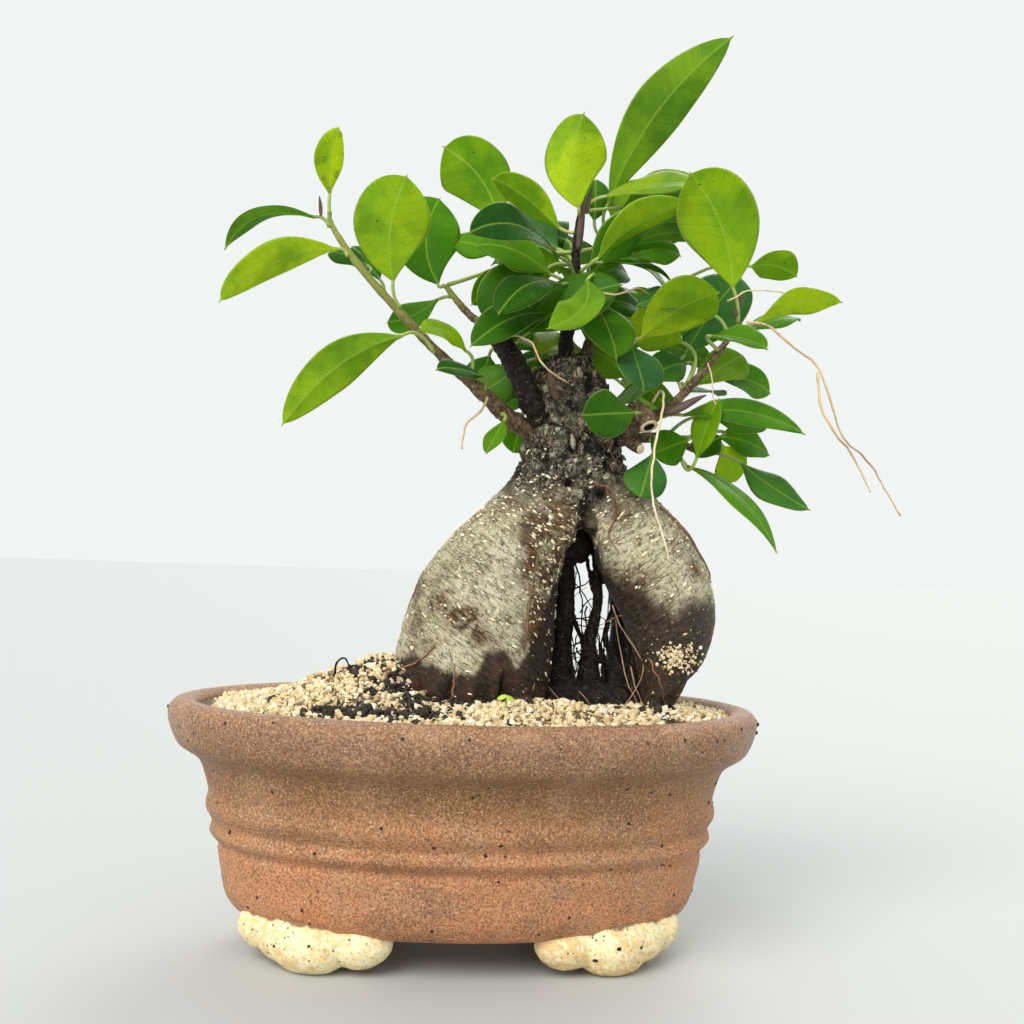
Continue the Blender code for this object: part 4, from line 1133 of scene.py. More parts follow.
# Woody stems: CAD node, then (x, y, z, radius) along each
STEMS = {
    "branch_left": (
        (20, -1, 148, 3.0), (10, -3, 152, 2.6), (1, -7, 159, 2.2), (-8, -9, 166, 1.9), (-16, -9, 173, 1.7),
        (-26, -9, 183, 1.5), (-37, -8, 195, 1.3), (-44, -7, 205, 1.0), (-45, -7, 209, 0.7),
    ),
    "stub_branch_left": ((22, -3, 149, 3.6), (15, -7, 157, 3.4), (10, -6, 168, 3.3), (5, -3, 176, 2.8)),
    "branch_left_inner": ((3.5, -1.5, 179.6, 1.4), (-2, 1, 182, 1.3), (-6, 2.5, 186, 1.2), (-11, 3, 192, 0.9)),
    "leader_shoot": (
        (25, 0, 168, 2.4), (25.5, -1, 180, 2.0), (27.5, -2, 192, 1.6), (27, -2, 203, 1.3), (28, -2, 214, 1.0),
        (29, -2, 217, 0.5),
    ),
    "shoot_top_right": (
        (29, 5, 164, 2.2), (34, 6, 180, 1.8), (35, 5.5, 194, 1.5), (35, 5, 205, 1.2), (36.5, 4.5, 213, 0.8),
    ),
    "branch_right": (
        (36, -2, 150, 3.4), (48, -3, 153.5, 2.9), (56, -5, 158, 2.4), (63, -8, 166, 2.0), (69, -9, 174, 1.7),
        (75, -10, 183, 1.2),
    ),
    "branch_lower_right": ((34, 5, 147, 2.8), (46, 7, 149, 2.4), (58, 9, 150, 2.0), (70, 10, 146, 1.2)),
    "branch_back": ((27, 8, 157, 2.8), (32, 20, 163, 2.3), (41, 31, 172, 1.9), (52, 40, 184, 1.1)),
    "pruned_stub": ((44, -9.2, 155.6, 2.9), (46.5, -12.5, 154.6, 2.7), (48, -15, 150.5, 2.6)),
}
STEM_SIDES = 20
NEVER_GREEN = 2  # a share of the length that no stem reaches
# Share of the CAD stem's thickness that its outer stretch lacks
THINNED = {
    "branch_left": 0.22, "branch_left_inner": 0.15, "leader_shoot": 0.1, "shoot_top_right": 0.15,
    "branch_right": 0.42, "branch_lower_right": 0.3,
}
# Share of the length from which a stem turns green
GREEN_FROM = {"branch_left": 0.30, "branch_left_inner": 0.4, "shoot_top_right": 0.15, "branch_right": 0.75}


def make_stem(name, knots, material):
    route = catmull(knots, 14)
    share = np.linspace(0, 1, len(route))
    radii = route[:, 3] * (1 - THINNED.get(name, 0) * smooth_step(0.1, 0.4, share))
    swelling = 0.10 * np.sin(share * 40) ** 8 * radii
    rings = tube_rings(route[:, :3], radii + swelling, STEM_SIDES)
    points = rings.reshape(-1, 3)
    outward = points - np.repeat(route[:, :3], STEM_SIDES, 0)
    outward /= np.linalg.norm(outward, axis=1)[:, None]
    thick = np.repeat(radii, STEM_SIDES)
    age = np.repeat(1 - 0.7 * smooth_step(0.2, 0.8, share), STEM_SIDES)
    rough = (0.17 * noise_at(points, 0.5, 3) + 0.08 * noise_at(points, 1.6)) * age
    points = points + outward * (rough * thick)[:, None]
    stem = new_piece("woody_" + name, points, skin(rings), [material], "twig", [name])
    start = GREEN_FROM.get(name, NEVER_GREEN)
    set_attribute(stem, "green", np.repeat(np.clip((share - start) / 0.5, 0, 1), STEM_SIDES))


def make_hollow_stub(name, knots, materials):
    """A pruned branch whose rotted middle left a ring of bark."""
    route = catmull(knots, 12)
    sides = 28
    outer = tube_rings(route[:, :3], route[:, 3], sides)
    back = np.arange(len(route) - 1, len(route) // 3, -1)
    inner = tube_rings(route[:, :3], route[:, 3] * 0.62, sides)[back]
    rings = np.concatenate([outer, inner])
    points = rings.reshape(-1, 3)
    points = points + 0.18 * np.stack([noise_at(points, 0.9, offset=o) for o in (0, 5, 9)], 1)
    faces = skin(rings)
    slots = []
    lip = len(outer) - 1
    for k in range(len(rings) - 1):
        slots += [1 if k in (lip - 1, lip) else (2 if k > lip else 0)] * sides
    slots += [0, 2]
    stub = new_piece("hollow_" + name, points, faces, materials, "twig", [name], slots=slots)
    set_attribute(stub, "green", np.zeros(len(points)))


def strand(knots, radius, steps=6, sides=8, wobble=0.15, taper=0.4):
    """Points and faces of one thin root through the knots, tapering to taper times its radius."""
    route = catmull(knots, steps)
    route = route + wobble * np.stack([noise_at(route, 0.35, offset=o) for o in (1, 6, 11)], 1)
    share = np.linspace(0, 1, len(route))
    radii = radius * (1 - (1 - taper) * share) * (1 + 0.12 * np.sin(share * 37 + radius * 50))
    rings = tube_rings(route, radii, sides)
    return rings.reshape(-1, 3), skin(rings)


def join_parts(parts):
    points, faces, count = [], [], 0
    for part_points, part_faces in parts:
        points.append(part_points)
        faces += [[i + count for i in face] for face in part_faces]
        count += len(part_points)
    return np.vstack(points), faces


AERIAL_ROOT_RADIUS = 0.4
AERIAL_ROOTS = {
    "aerial_root_front": (
        (50, -8.3, 158.6), (51.5, -13, 161.4), (51.5, -17, 157), (49, -19, 144), (48, -21, 135), (48.5, -24, 127),
        (51, -25, 119), (52.5, -25.5, 113),
    ),
    "aerial_root_right_long": (
        (76, -13, 182.6), (83, -14, 181), (88, -16, 176), (95, -17, 171), (98, -18, 165), (102, -19, 152),
        (105, -19, 148), (112, -18, 142), (122, -16, 128),
    ),
    "aerial_root_right_short": (
        (95.6, -18.8, 168), (96, -20.5, 158), (100, -22, 150), (104, -22, 146), (107, -23, 140), (110, -24, 134),
    ),
    "aerial_root_left": ((2, -10.6, 157.5), (0, -14, 153), (-4, -15, 149), (-5, -15, 142)),
}


def make_roots():
    cream = root_skin("cream_root", (0.80, 0.70, 0.46), (0.62, 0.45, 0.24))
    tan = root_skin("tan_root", (0.70, 0.50, 0.28), (0.42, 0.24, 0.11))
    for name, knots in AERIAL_ROOTS.items():
        colour = cream if name == "aerial_root_front" else tan
        root = strand(knots, AERIAL_ROOT_RADIUS, 8, 10, 0.3, 0.6)
        new_piece("bare_" + name, *root, [colour], "aerial_root", [name])


def make_stems():
    wood = twig_bark()
    black = dark_wood()
    for name, knots in STEMS.items():
        if name in ("stub_branch_left", "leader_shoot"):
            make_stem(name, knots, black)
        elif name == "pruned_stub":
            make_hollow_stub(name, knots, [wood, cut_wood(), dark_hollow()])
        else:
            make_stem(name, knots, wood)


# ---------------------------------------------------------------- leaves

# Leaves: name; stem; outline; share of the stem's length; blade base x y z; tip x y z; width; where the upper side
# faces x y z; how the middle bows x y z; fold in degrees; brightness; blueness. These are the CAD's leaf nodes.
# The brightness column is partly each leaf's own tone and partly painted light on leaves lit through from behind.
LEAVES = """
leaf_left_01 branch_left oval  0.99  -45 -8 214  -43 -10 233  9  0.4 -0.9 0.1  -1.6 0 0  12 1 0
leaf_left_02 branch_left long  0.94  -49 -8 207  -73 -14 195  13  0 0.2 0.97  -3 0 4.5  8 0.6 0.2
leaf_left_03 branch_left long  0.82  -42 -9 198  -74 -16 180  12.5  0 0.6 0.8  -1 0 3.5  16 0.95 0.1
leaf_left_04 branch_left round  0.6  -26 -13 189  -23 -18 218  22  0.1 1 0.1  -2.8 0 0  8 0.72 0
leaf_left_05 branch_left_inner round  0.98  -13 6 193  -13 14 222  21  0 -0.9 0.3  -4 0 -1  8 0.5 0
leaf_left_06 branch_left oval  0.76  -34 -3 195  -46 4 200  8  0.1 -0.8 0.5  0 0 1  8 0.2 0
leaf_left_07 branch_left long  0.42  -23 -15 173  -54 -26 145  13  0.3 0.8 0.5  -1.5 0 4  16 0.75 0.1
leaf_left_08 branch_left_inner oval  0.8  -13 5 188  -28 8 181  13  0.2 -0.7 0.6  0 0 -2  8 0.45 0
leaf_left_09 branch_left round  0.3  -5 -14 170  -18 -22 174  9.5  0 -0.8 0.6  0.8 0 2  10 0.8 0
leaf_left_10 branch_left oval  0.24  0 -14 163  -13 -25 163  9  0 -0.8 0.6  0 0 0.5  10 0.1 0.2
leaf_left_11 branch_left oval  0.17  7 -10 151  2 -14 141  8  -0.6 -0.7 0.2  0 0 0  10 0.6 0
leaf_left_12 stub_branch_left oval  0.75  3 6 172  1 15 159  13  -0.2 -0.9 0.3  0 0 1  8 0.3 0.2
leaf_top_01 leader_shoot round  0.7  5 12 215  -13 18 238  22  -0.2 1 0.2  2 0 3  6 0.55 0
leaf_top_02 leader_shoot round  0.92  27 -6 215  27 -12 241  22  0.25 0.9 0.2  -3 0 0  34 0.95 0
leaf_top_03 leader_shoot oval  0.82  22 -1 210  2 3 225  12  0 0.6 0.8  0 0 1.5  10 0.75 0
leaf_top_04 leader_shoot long  0.52  21 -10 199  -6 -26 200  14.5  -0.1 -0.9 0.45  0 -2 5  10 0.05 0.15
leaf_top_05 leader_shoot oval  0.45  22 -10 191  3 -24 178  13.5  -0.2 -0.85 0.5  -1 0 4  8 0.1 0
leaf_top_06 leader_shoot oval  0.34  19 -6 183  -4 -18 170  13  -0.3 -0.8 0.5  0 -1 3  8 0.15 0
leaf_top_07 shoot_top_right oval  0.6  29 -13 192  16 -29 174.5  13.5  -0.3 -0.8 0.5  4 -2 -2  22 0.65 0
leaf_top_08 shoot_top_right round  0.42  32 -8 186  37 -22 168.5  16  0.1 -0.9 0.4  0 0 2  12 0.3 0
leaf_top_09 shoot_top_right round  0.26  43 -11 174  45 -21 160  15  0.2 -1 0.3  0 0 0  14 0.2 0.8
leaf_top_10 pruned_stub oval  0.5  43 -18 154  27 -24 152  14  0 -1 0.2  0 0 0  6 0.25 0.1
leaf_top_11 branch_lower_right round  0.52  50 -11 143  45 -20 130  12.5  -0.2 -1 0.1  0 0 0  8 0.4 0.6
leaf_top_12 shoot_top_right long  0.97  37 2 219  72 -4 270  17  -0.2 0.95 0.2  -4 0 2.5  14 0.6 0.25
leaf_top_13 shoot_top_right oval  0.88  41 10 213  49 18 232  13  0.2 0.8 0.4  0 0 0  14 0.75 0.1
leaf_top_14 shoot_top_right long  0.66  33 -8 200  58 -16 215  13  -0.3 0.6 0.7  -2 0 2  25 0.7 0
leaf_right_01 branch_right round  0.98  71 -15 192  56 -20 223  23  0.2 1 0.2  3 0 1.5  10 0.7 0
leaf_right_02 branch_right long  0.94  80 -11 183  101 -22 188  12  0 0.5 0.85  0 0 3  8 0.85 0
leaf_right_03 branch_right oval  0.8  65 -17 177  78 -28 172  13  0.2 -0.75 0.6  0 0 1  30 0.6 0
leaf_right_04 branch_back round  0.72  66 22 178  86 28 206  20  0 -0.9 0.4  0 0 2  10 0.3 0.7
leaf_right_05 shoot_top_right round  0.3  46 -11 177  65 -24 188  21  -0.2 0.8 0.55  0 0 2  16 0.85 0
leaf_right_06 branch_right oval  0.62  71 3 169  91 10 165.5  14  0.1 -0.85 0.5  0 0 1.5  10 0.55 0.1
leaf_right_07 branch_right long  0.3  59 -10 155  94 -14 150.5  12  0 -0.75 0.65  0 0 3.5  16 0.45 0.1
leaf_right_08 branch_lower_right oval  0.85  76 14 151.5  94 20 147  12  0.1 -0.9 0.4  0 0 1.5  10 0.55 0
leaf_right_09 branch_lower_right long  0.98  81 6 143  100 -2 129  12  0.2 -0.8 0.5  -1.5 0 0  8 0.4 0.5
leaf_right_10 branch_lower_right long  0.8  63 0 141  86.5 -14 116  12.5  0.55 -0.7 0.5  2 -1 3  10 0.5 0
"""
# Leaves past the part's node limit
EXTRA_LEAVES = """
extra_left_08 branch_left oval  0.68  -30 -4 191  -39 6 203  9  0.1 -0.8 0.5  0 0 0  10 0.4 0
extra_left_15 branch_left round  0.1  14 10 154  12 16 144  10  0 -1 0.2  0 0 0  8 0.5 0
extra_top_05 leader_shoot oval  0.58  22 5 201  3 14 202  15  0 -0.6 0.8  0 0 3  10 0.4 0
extra_top_14 shoot_top_right oval  0.92  34 10 216  35 16 231  10  0 -0.8 0.5  0 0 0  10 0.3 0
extra_top_18 shoot_top_right long  0.62  42 10 208  69 18 217  12  0 -0.8 0.6  0 0 2  10 0.2 0.4
extra_right_02 branch_back oval  0.95  85 16 206  102 22 205  13  0 0.6 0.8  0 0 2  10 0.7 0
extra_right_04 branch_right oval  0.9  79 -2 182  99 8 189  10  0 -0.55 0.85  0 0 1  10 0.5 0
extra_right_11 branch_lower_right long  0.6  71 8 157  91 12 155  12  0 -0.85 0.5  0 0 1  10 0.35 0
extra_right_12 branch_lower_right oval  0.75  63.5 -9 143  68 -14 160  11  -0.7 -0.7 0.2  0 0 0  24 0.75 0
extra_right_16 branch_lower_right oval  0.92  77 14 149  83 18 138  13  0 -0.8 0.4  0 0 0  10 0.9 0
extra_right_17 branch_lower_right round  0.5  63 2 149  51.5 -2 144  12  0.1 -0.95 0.2  0 0 0  10 0.5 0
extra_right_18 branch_lower_right oval  0.7  75 8 151  67 6 144  9  0 -0.85 0.5  0 0 1  10 0.15 0
extra_fill_01 leader_shoot oval  0.55  24 4 200  3 2 192  14  -0.1 0.85 0.3  0 0 2.5  8 0.55 0
extra_fill_02 stub_branch_left oval  0.95  9 8 197  -3 4 186.5  10  0 0.85 0.4  0 0 1.5  8 0.5 0
extra_fill_03 branch_left_inner oval  0.98  5 10 205  -10 12 208  10  0 -0.9 0.3  0 0 0  8 0.6 0
extra_fill_04 stub_branch_left round  0.6  12 2 168  0 6 160  14  0 -0.9 0.3  0 0 0  8 0.6 0.2
extra_fill_05 leader_shoot oval  0.25  31 6 175  45 8 168  15  0 -0.9 0.3  0 0 2  8 0.7 0
extra_fill_06 branch_right oval  0.55  60 0 178  44 2 184  15  0 0.9 0.3  0 0 1  8 0.8 0
extra_fill_07 branch_right oval  0.5  62 2 172  50 -4 166  12  0 -0.9 0.4  0 0 1  12 0.35 0.3
extra_fill_08 leader_shoot oval  0.12  18 6 172  8 8 160  12  0 -0.9 0.3  0 0 0  8 0.4 0
extra_fill_09 shoot_top_right oval  0.75  44 2 203  60 4 205  13  0 -0.8 0.5  0 0 2  12 0.55 0
extra_back_01 branch_back oval  0.55  30 36 178  14 50 186  17  -0.2 0.6 0.8  0 0 3  10 0.3 0.1
extra_back_02 branch_back round  0.8  52 46 186  60 52 206  16  0 0.8 0.6  0 2 0  8 0.4 0
extra_back_03 branch_back oval  0.98  60 44 184  82 48 178  14  0 0.3 0.95  0 0 3  10 0.25 0.2
extra_back_04 branch_back oval  0.35  30 32 163  22 48 152  14  -0.2 0.7 0.7  0 0 3  10 0.35 0
extra_back_05 branch_back round  0.65  50 30 170  66 38 160  15  0.3 0.3 0.9  0 0 3  10 0.3 0
extra_back_06 leader_shoot oval  0.62  24 10 205  12 34 214  15  -0.2 -0.4 0.9  0 0 3  10 0.5 0
extra_back_07 shoot_top_right oval  0.5  40 16 194  48 40 200  16  0.2 -0.3 0.9  0 0 3  10 0.45 0
extra_back_08 leader_shoot oval  0.4  22 10 190  2 32 190  15  -0.2 -0.3 0.95  0 0 3  10 0.3 0
extra_back_09 shoot_top_right round  0.36  38 14 183  30 38 186  14  0 -0.4 0.9  0 0 2  10 0.35 0
"""
# Where the blade is widest, how full its outline is, and how long its point is drawn out
OUTLINES = {"oval": (0.54, 0.78, 0.5), "round": (0.60, 0.60, 0.2), "long": (0.53, 0.90, 0.9)}
LEAF_COLUMNS = 16  # faces across the blade
LEAF_ROWS = 34
STALK_ROWS = 9
STALK_RADIUS = 0.5
CROWN_LEAVES = 34  # smaller leaves that fill the crown
CROWN_TRIES = 9000
CROWN_GAP = 5.5  # the least distance between a crown leaf and any other


def place_on_stem(stem, share):
    route = catmull(STEMS[stem], 8)
    points = route[:, :3]
    lengths = np.linalg.norm(np.diff(points, axis=0), axis=1)
    distance = np.concatenate([[0], np.cumsum(lengths)])
    at = share * distance[-1]
    place = np.array([np.interp(at, distance, route[:, k]) for k in range(4)])
    index = min(np.searchsorted(distance, at, side="right"), len(points) - 1)
    way = points[index] - points[index - 1]
    return place[:3], way / np.linalg.norm(way), place[3]


def unit(vector):
    return vector / (np.linalg.norm(vector) + 1e-12)


def leaf_outline(t, width, outline):
    widest, fullness, point = OUTLINES[outline]
    power = math.log(0.5) / math.log(widest)
    half = width / 2 * np.sin(math.pi * np.clip(t / 0.965, 0, 1) ** power).clip(0) ** fullness
    drip = (0.03 + 0.05 * point) * width * (1 - smooth_step(0.93, 1.0, t)) * smooth_step(0.6, 0.93, t)
    taper = STALK_RADIUS * (1 - smooth_step(0.0, 0.06, t))
    return np.maximum(half + drip, taper)


def make_leaf(row, skins):
    name, stem, outline, share, base, tip, width, face, bow, fold, bright, blue = row
    joint, stem_way, stem_radius = place_on_stem(stem, share)
    reach = unit(base - joint)
    slant = 1.0 if share > 0.95 else max(0.4, np.linalg.norm(np.cross(reach, stem_way)))
    start = joint + reach * (stem_radius * 0.8 / slant)
    length = np.linalg.norm(tip - base)
    along = unit(tip - base)
    t = np.linspace(0, 1, LEAF_ROWS) ** 0.9
    centre = base + np.outer(t, tip - base) + np.outer(4 * t * (1 - t), bow)
    hook = rng.uniform(-0.4, 1.0) * 0.05 * length * (t - 0.8).clip(0) ** 2 / 0.04
    wander = rng.uniform(-1, 1, 3)
    up0 = unit(face - along * np.dot(face, along))
    centre = centre - np.outer(hook, up0)
    tangent = unit_rows(np.gradient(centre, axis=0))
    across = unit_rows(np.cross(tangent, np.tile(up0, (LEAF_ROWS, 1))))
    up = np.cross(across, tangent)
    twist = (math.radians(13) * wander[0] * (t - 0.4) * 2)[:, None]
    across, up = across * np.cos(twist) + up * np.sin(twist), up * np.cos(twist) - across * np.sin(twist)
    half = leaf_outline(t, width, outline)
    blade = smooth_step(0.0, 0.09, t)
    u_top = np.linspace(-1, 1, LEAF_COLUMNS + 1)
    u_top = np.sign(u_top) * np.abs(u_top) ** 0.92
    u_low = u_top[1:-1][::-1]
    seed = rng.uniform(0, 50)
    rings, uvs, edges = [], [], []
    stalk = np.linspace(0, 1, STALK_ROWS, endpoint=False)[:, None]
    bend = base - along * 0.55 * np.linalg.norm(base - start)
    stalk_route = (1 - stalk) ** 2 * start + 2 * stalk * (1 - stalk) * bend + stalk**2 * base
    stalk_way = unit_rows(np.gradient(np.vstack([stalk_route, centre[:2]]), axis=0))[:STALK_ROWS]
    half_turn = np.linspace(math.pi, 0, LEAF_COLUMNS + 1)
    turns = np.concatenate([half_turn, np.linspace(0, -math.pi, LEAF_COLUMNS + 1)[1:-1]])
    for k in range(STALK_ROWS):
        local_up = unit(up[0] - stalk_way[k] * np.dot(up[0], stalk_way[k]))
        local_across = np.cross(stalk_way[k], local_up)
        radius = STALK_RADIUS * (1.35 - 0.35 * smooth_step(0, 0.25, k / STALK_ROWS))
        ring = stalk_route[k] + radius * (np.outer(np.cos(turns), local_across) + np.outer(np.sin(turns), local_up))
        rings.append(ring)
        uvs.append(np.stack([np.cos(turns) * 0.05, np.full(len(turns), -0.1 * (STALK_ROWS - k))], 1))
        edges.append(np.zeros(len(turns)))
    waves = 0.5 + 0.9 * rng.random()
    for k in range(LEAF_ROWS):
        h = half[k]
        angle = math.radians(fold) * blade[k]
        ring = []
        for u, side in [(u, 1) for u in u_top] + [(u, -1) for u in u_low]:
            a = abs(u)
            rise = h * math.sin(angle) * (math.sqrt(a * a + 0.012) - 0.11) + 0.05 * h * blade[k] * (1 - u * u)
            ripple = waves * math.sin(t[k] * 8 + seed + 2.2 * np.sign(u)) * a**2.5 * 0.09 * h * blade[k]
            rise += ripple - (0.10 + 0.12 * wander[1]) * h * a**3 * blade[k] + wander[2] * 0.08 * u * h * blade[k]
            round_half = STALK_RADIUS * math.sqrt(max(0.0, 1 - u * u))
            thin = 0.20 * (1 - 0.45 * a**2) * math.sqrt(max(0.0, 1 - a**8)) + 0.01
            rib = math.exp(-((u * h / 0.55) ** 2)) * (1 - 0.75 * t[k])
            skin_half = thin + (0.42 * rib if side < 0 else -0.12 * rib)
            thickness = round_half * (1 - blade[k]) + skin_half * blade[k]
            ring.append(centre[k] + across[k] * (u * h * math.cos(angle)) + up[k] * (rise + side * thickness))
        rings.append(np.array(ring))
        u_all = np.concatenate([u_top, u_low])
        uvs.append(np.stack([u_all * h / 10, np.full(len(u_all), t[k] * length / 10)], 1))
        edges.append(np.abs(u_all))
    rings = np.array(rings)
    points = rings.reshape(-1, 3)
    faces = skin(rings)
    sides = rings.shape[1]
    slots = []
    for k in range(len(rings) - 1):
        for i in range(sides):
            slots.append(2 if k < STALK_ROWS else (0 if i < LEAF_COLUMNS else 1))
    slots += [2, 1]
    is_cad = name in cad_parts
    leaf = new_piece("ficus_" + name, points, faces, skins, "leaf", [name] if is_cad else [], slots=slots)
    mesh = leaf.data
    flat = np.concatenate(uvs)
    layer = mesh.uv_layers.new(name="blade")
    loops = np.zeros(len(mesh.loops), np.int32)
    mesh.loops.foreach_get("vertex_index", loops)
    layer.data.foreach_set("uv", flat[loops].astype(np.float32).ravel())
    set_attribute(leaf, "edge", np.concatenate(edges))
    tint = (np.clip(bright + rng.uniform(-0.04, 0.04), 0, 1), blue, rng.random())
    set_attribute(leaf, "tint", np.tile(tint, (len(points), 1)), "FLOAT_VECTOR")
    return leaf


def unit_rows(rows):
    return rows / (np.linalg.norm(rows, axis=1)[:, None] + 1e-12)


def leaf_rows(table):
    """The rows of a table of leaves, as make_leaf takes them."""
    for line in table.strip().splitlines():
        name, stem, outline, *texts = line.split()
        values = np.array(texts, float)
        share, width, fold, bright, blue = values[[0, 7, 14, 15, 16]]
        base, tip, face, bow = values[1:4], values[4:7], values[8:11], values[11:14]
        yield name, stem, outline, share, base, tip, width, face, bow, fold, bright, blue


def crown_leaves(taken):
    """Rows for the smaller leaves inside and behind the crown, kept clear of the places that are taken."""
    taken = list(taken)
    rows = []
    stems = ("leader_shoot", "leader_shoot", "shoot_top_right", "branch_back", "branch_right", "stub_branch_left")
    for _ in range(CROWN_TRIES):
        if len(rows) == CROWN_LEAVES:
            break
        stem = stems[rng.integers(len(stems))]
        share = rng.uniform(0.3, 0.97)
        joint = place_on_stem(stem, share)[0]
        turn = math.radians(rng.uniform(-35, 215))
        rise = math.radians(rng.uniform(-15, 60))
        heading = np.array([math.cos(turn) * math.cos(rise), math.sin(turn) * math.cos(rise), math.sin(rise)])
        base = joint + heading * rng.uniform(7, 15)
        length = rng.uniform(20, 31)
        tip = base + unit(heading + (0, 0, -rng.uniform(0, 0.7))) * length
        middle = (base + tip) / 2
        inside = -16 < tip[0] < 84 and -16 < tip[1] < 50 and 156 < tip[2] < 224
        before_neck = min(tip[1], middle[1]) < -2 and middle[2] < 178
        if before_neck or not inside:
            continue
        samples = [base + (tip - base) * s for s in (0.3, 0.55, 0.8, 1.0)]
        if min(np.linalg.norm(np.array(taken) - s, axis=1).min() for s in samples) < CROWN_GAP:
            continue
        taken += samples
        face = unit(np.array([0, -0.65, 0.55]) + rng.normal(0, 0.35, 3))
        outline = ("oval", "round", "long")[rng.integers(3)]
        width = length * rng.uniform(0.55, 0.72)
        bright = rng.choice((0.15, 0.3, 0.45, 0.6, 0.75, 0.9))
        blue = rng.choice((0, 0, 0, 0.3, 0.8))
        name = "crown_%02d" % (len(rows) + 1)
        bow = (0, 0, rng.uniform(0, 4.0))
        fold = rng.uniform(5, 22)
        rows.append((name, stem, outline, share, base, tip, width, face, bow, fold, bright, blue))
    return rows


def make_leaves():
    skins = [leaf_side("leaf_upper_side", True), leaf_side("leaf_under_side", False), stalk_skin()]
    taken = []
    for row in leaf_rows(LEAVES + EXTRA_LEAVES.lstrip()):
        leaf = make_leaf(row, skins)
        name, base, tip = row[0], row[4], row[5]
        taken += [base + (tip - base) * s for s in (0.3, 0.6, 0.9)]
        if name == "leaf_left_01":
            make_drops(leaf)
    for row in crown_leaves(taken):
        make_leaf(row, skins)


def laid_on(tree, knots, lift, steps=6):
    """A smooth line through the knots, laid on the surface of the tree."""
    route = catmull(knots, steps)
    out = []
    for point in route:
        near, normal, _, _ = tree.find_nearest(Vector(point))
        out.append(np.array(near) + lift * np.array(normal))
    return np.array(out)


def tapered(route, radius, sides=8, taper=0.45):
    share = np.linspace(0, 1, len(route))
    radii = radius * (1 - (1 - taper) * share) * (1 + 0.15 * np.sin(share * 37 + radius * 50))
    rings = tube_rings(route, radii, sides)
    return rings.reshape(-1, 3), skin(rings)


# Thin brown roots that lie on the neck, the legs and the bulb: radius, then x, y, z
LAID_ROOTS = (
    (
        0.42, (14.1, -14, 150.6), (16.5, -14, 147.5), (18.8, -14, 145.2), (21.5, -15, 140), (22, -15, 134.5),
        (24.7, -16, 130),
    ),
    (0.38, (17.5, -14, 146.4), (22, -15, 144), (25.5, -15, 140), (29, -15, 137.5), (33, -15, 134), (36, -15, 132)),
    (0.40, (33, -15, 134.5), (36.5, -15, 132), (38.5, -16, 128.5), (38, -17, 124), (36.5, -17, 119.5), (36, -18, 115)),
    (0.30, (36.5, -14, 133), (38.8, -15, 130), (39.3, -16, 127.5)),
    (0.26, (38.5, -14, 145), (41, -13, 147), (42.5, -12, 149), (43.2, -12, 151)),
    (0.24, (39, -14, 140.5), (41, -13, 143), (42.5, -12.5, 146.8)),
    (0.42, (52, -9, 126.5), (58, -8, 123.5), (63.5, -8, 118), (67.5, -8, 111.5), (69.5, -8, 107)),
    (0.30, (56, -10, 125), (60, -10, 120.5), (65, -9.5, 114.5), (66, -9, 111)),
    (0.34, (-18.5, -12, 80), (-14, -18, 83), (-11.5, -20, 86), (-10.8, -21, 88)),
    (0.36, (-6, -24, 73), (-6, -24, 77), (-5.6, -24, 80.5), (-5.4, -24, 83)),
    (0.30, (13.5, -20, 88), (14.5, -19, 100), (16, -18, 108), (16.5, -17, 114)),
    (0.32, (46, -22, 84), (50, -25, 79), (53, -25, 75), (55, -24, 71)),
)
# Thick dark roots inside the arch: x, y, z, radius
ARCH_ROOTS = (
    (
        (26.0, 4, 122, 3.4), (27.0, 3, 112, 3.4), (27.8, 2, 102, 3.0), (27.4, 2, 92, 3.2), (26.6, 1, 82, 4.0),
        (26, 0, 69, 6.0),
    ),
    (
        (36.5, 8, 120, 1.3), (37.6, 6, 110, 1.1), (38.2, 4, 101, 1.3), (36.6, 3, 93, 1.9), (35.2, 2, 85, 2.4),
        (36, 0, 70, 5.0),
    ),
    ((33.5, 7, 118, 0.8), (35.0, 5, 109, 0.7), (37.4, 4, 101.5, 0.9)),
    ((47, 7, 118, 2.0), (46, 5, 104, 1.5), (47.5, 3, 94, 1.5), (48.5, 0, 84, 2.2), (48, -3, 69, 4.4)),
    ((20, -4, 71, 5.0), (29, -3, 72, 5.4), (38, -4, 71.5, 5.6), (46, -6, 70.5, 5.0)),
    ((44, 10, 100, 1.0), (41, 7, 90, 1.0), (43, 3, 82, 1.4), (44, -2, 70, 3.0)),
    ((31, 9, 96, 0.8), (34, 6, 88, 0.9), (39, 3, 83, 1.0), (45, 1, 80, 1.0)),
)
# Rootlets that hang before the arch: radius, then x, y, z
LONG_ROOTLETS = (
    (0.36, (40.5, -7, 99.5), (42.3, -10, 94), (45.5, -13, 89), (48.3, -15, 83.5), (47.5, -16, 78.5), (42.5, -17, 71)),
    (0.32, (41.5, -6, 96), (43.5, -9, 84), (44.5, -12, 78), (48, -15, 71)),
    (0.30, (46, -9, 82), (46.5, -12, 78), (47.8, -15, 74), (50, -17, 70)),
    (0.34, (39.0, -6, 94.5), (41.5, -7, 96.0), (43.5, -9, 96.8)),
    (0.22, (30, -5, 76), (32.5, -9, 73.5), (35, -12, 70)),
    (0.20, (22, -10, 76), (25, -13, 73), (29, -15, 70)),
    (0.24, (18.5, -15, 84), (17, -18, 76), (12, -21, 70.5)),
)
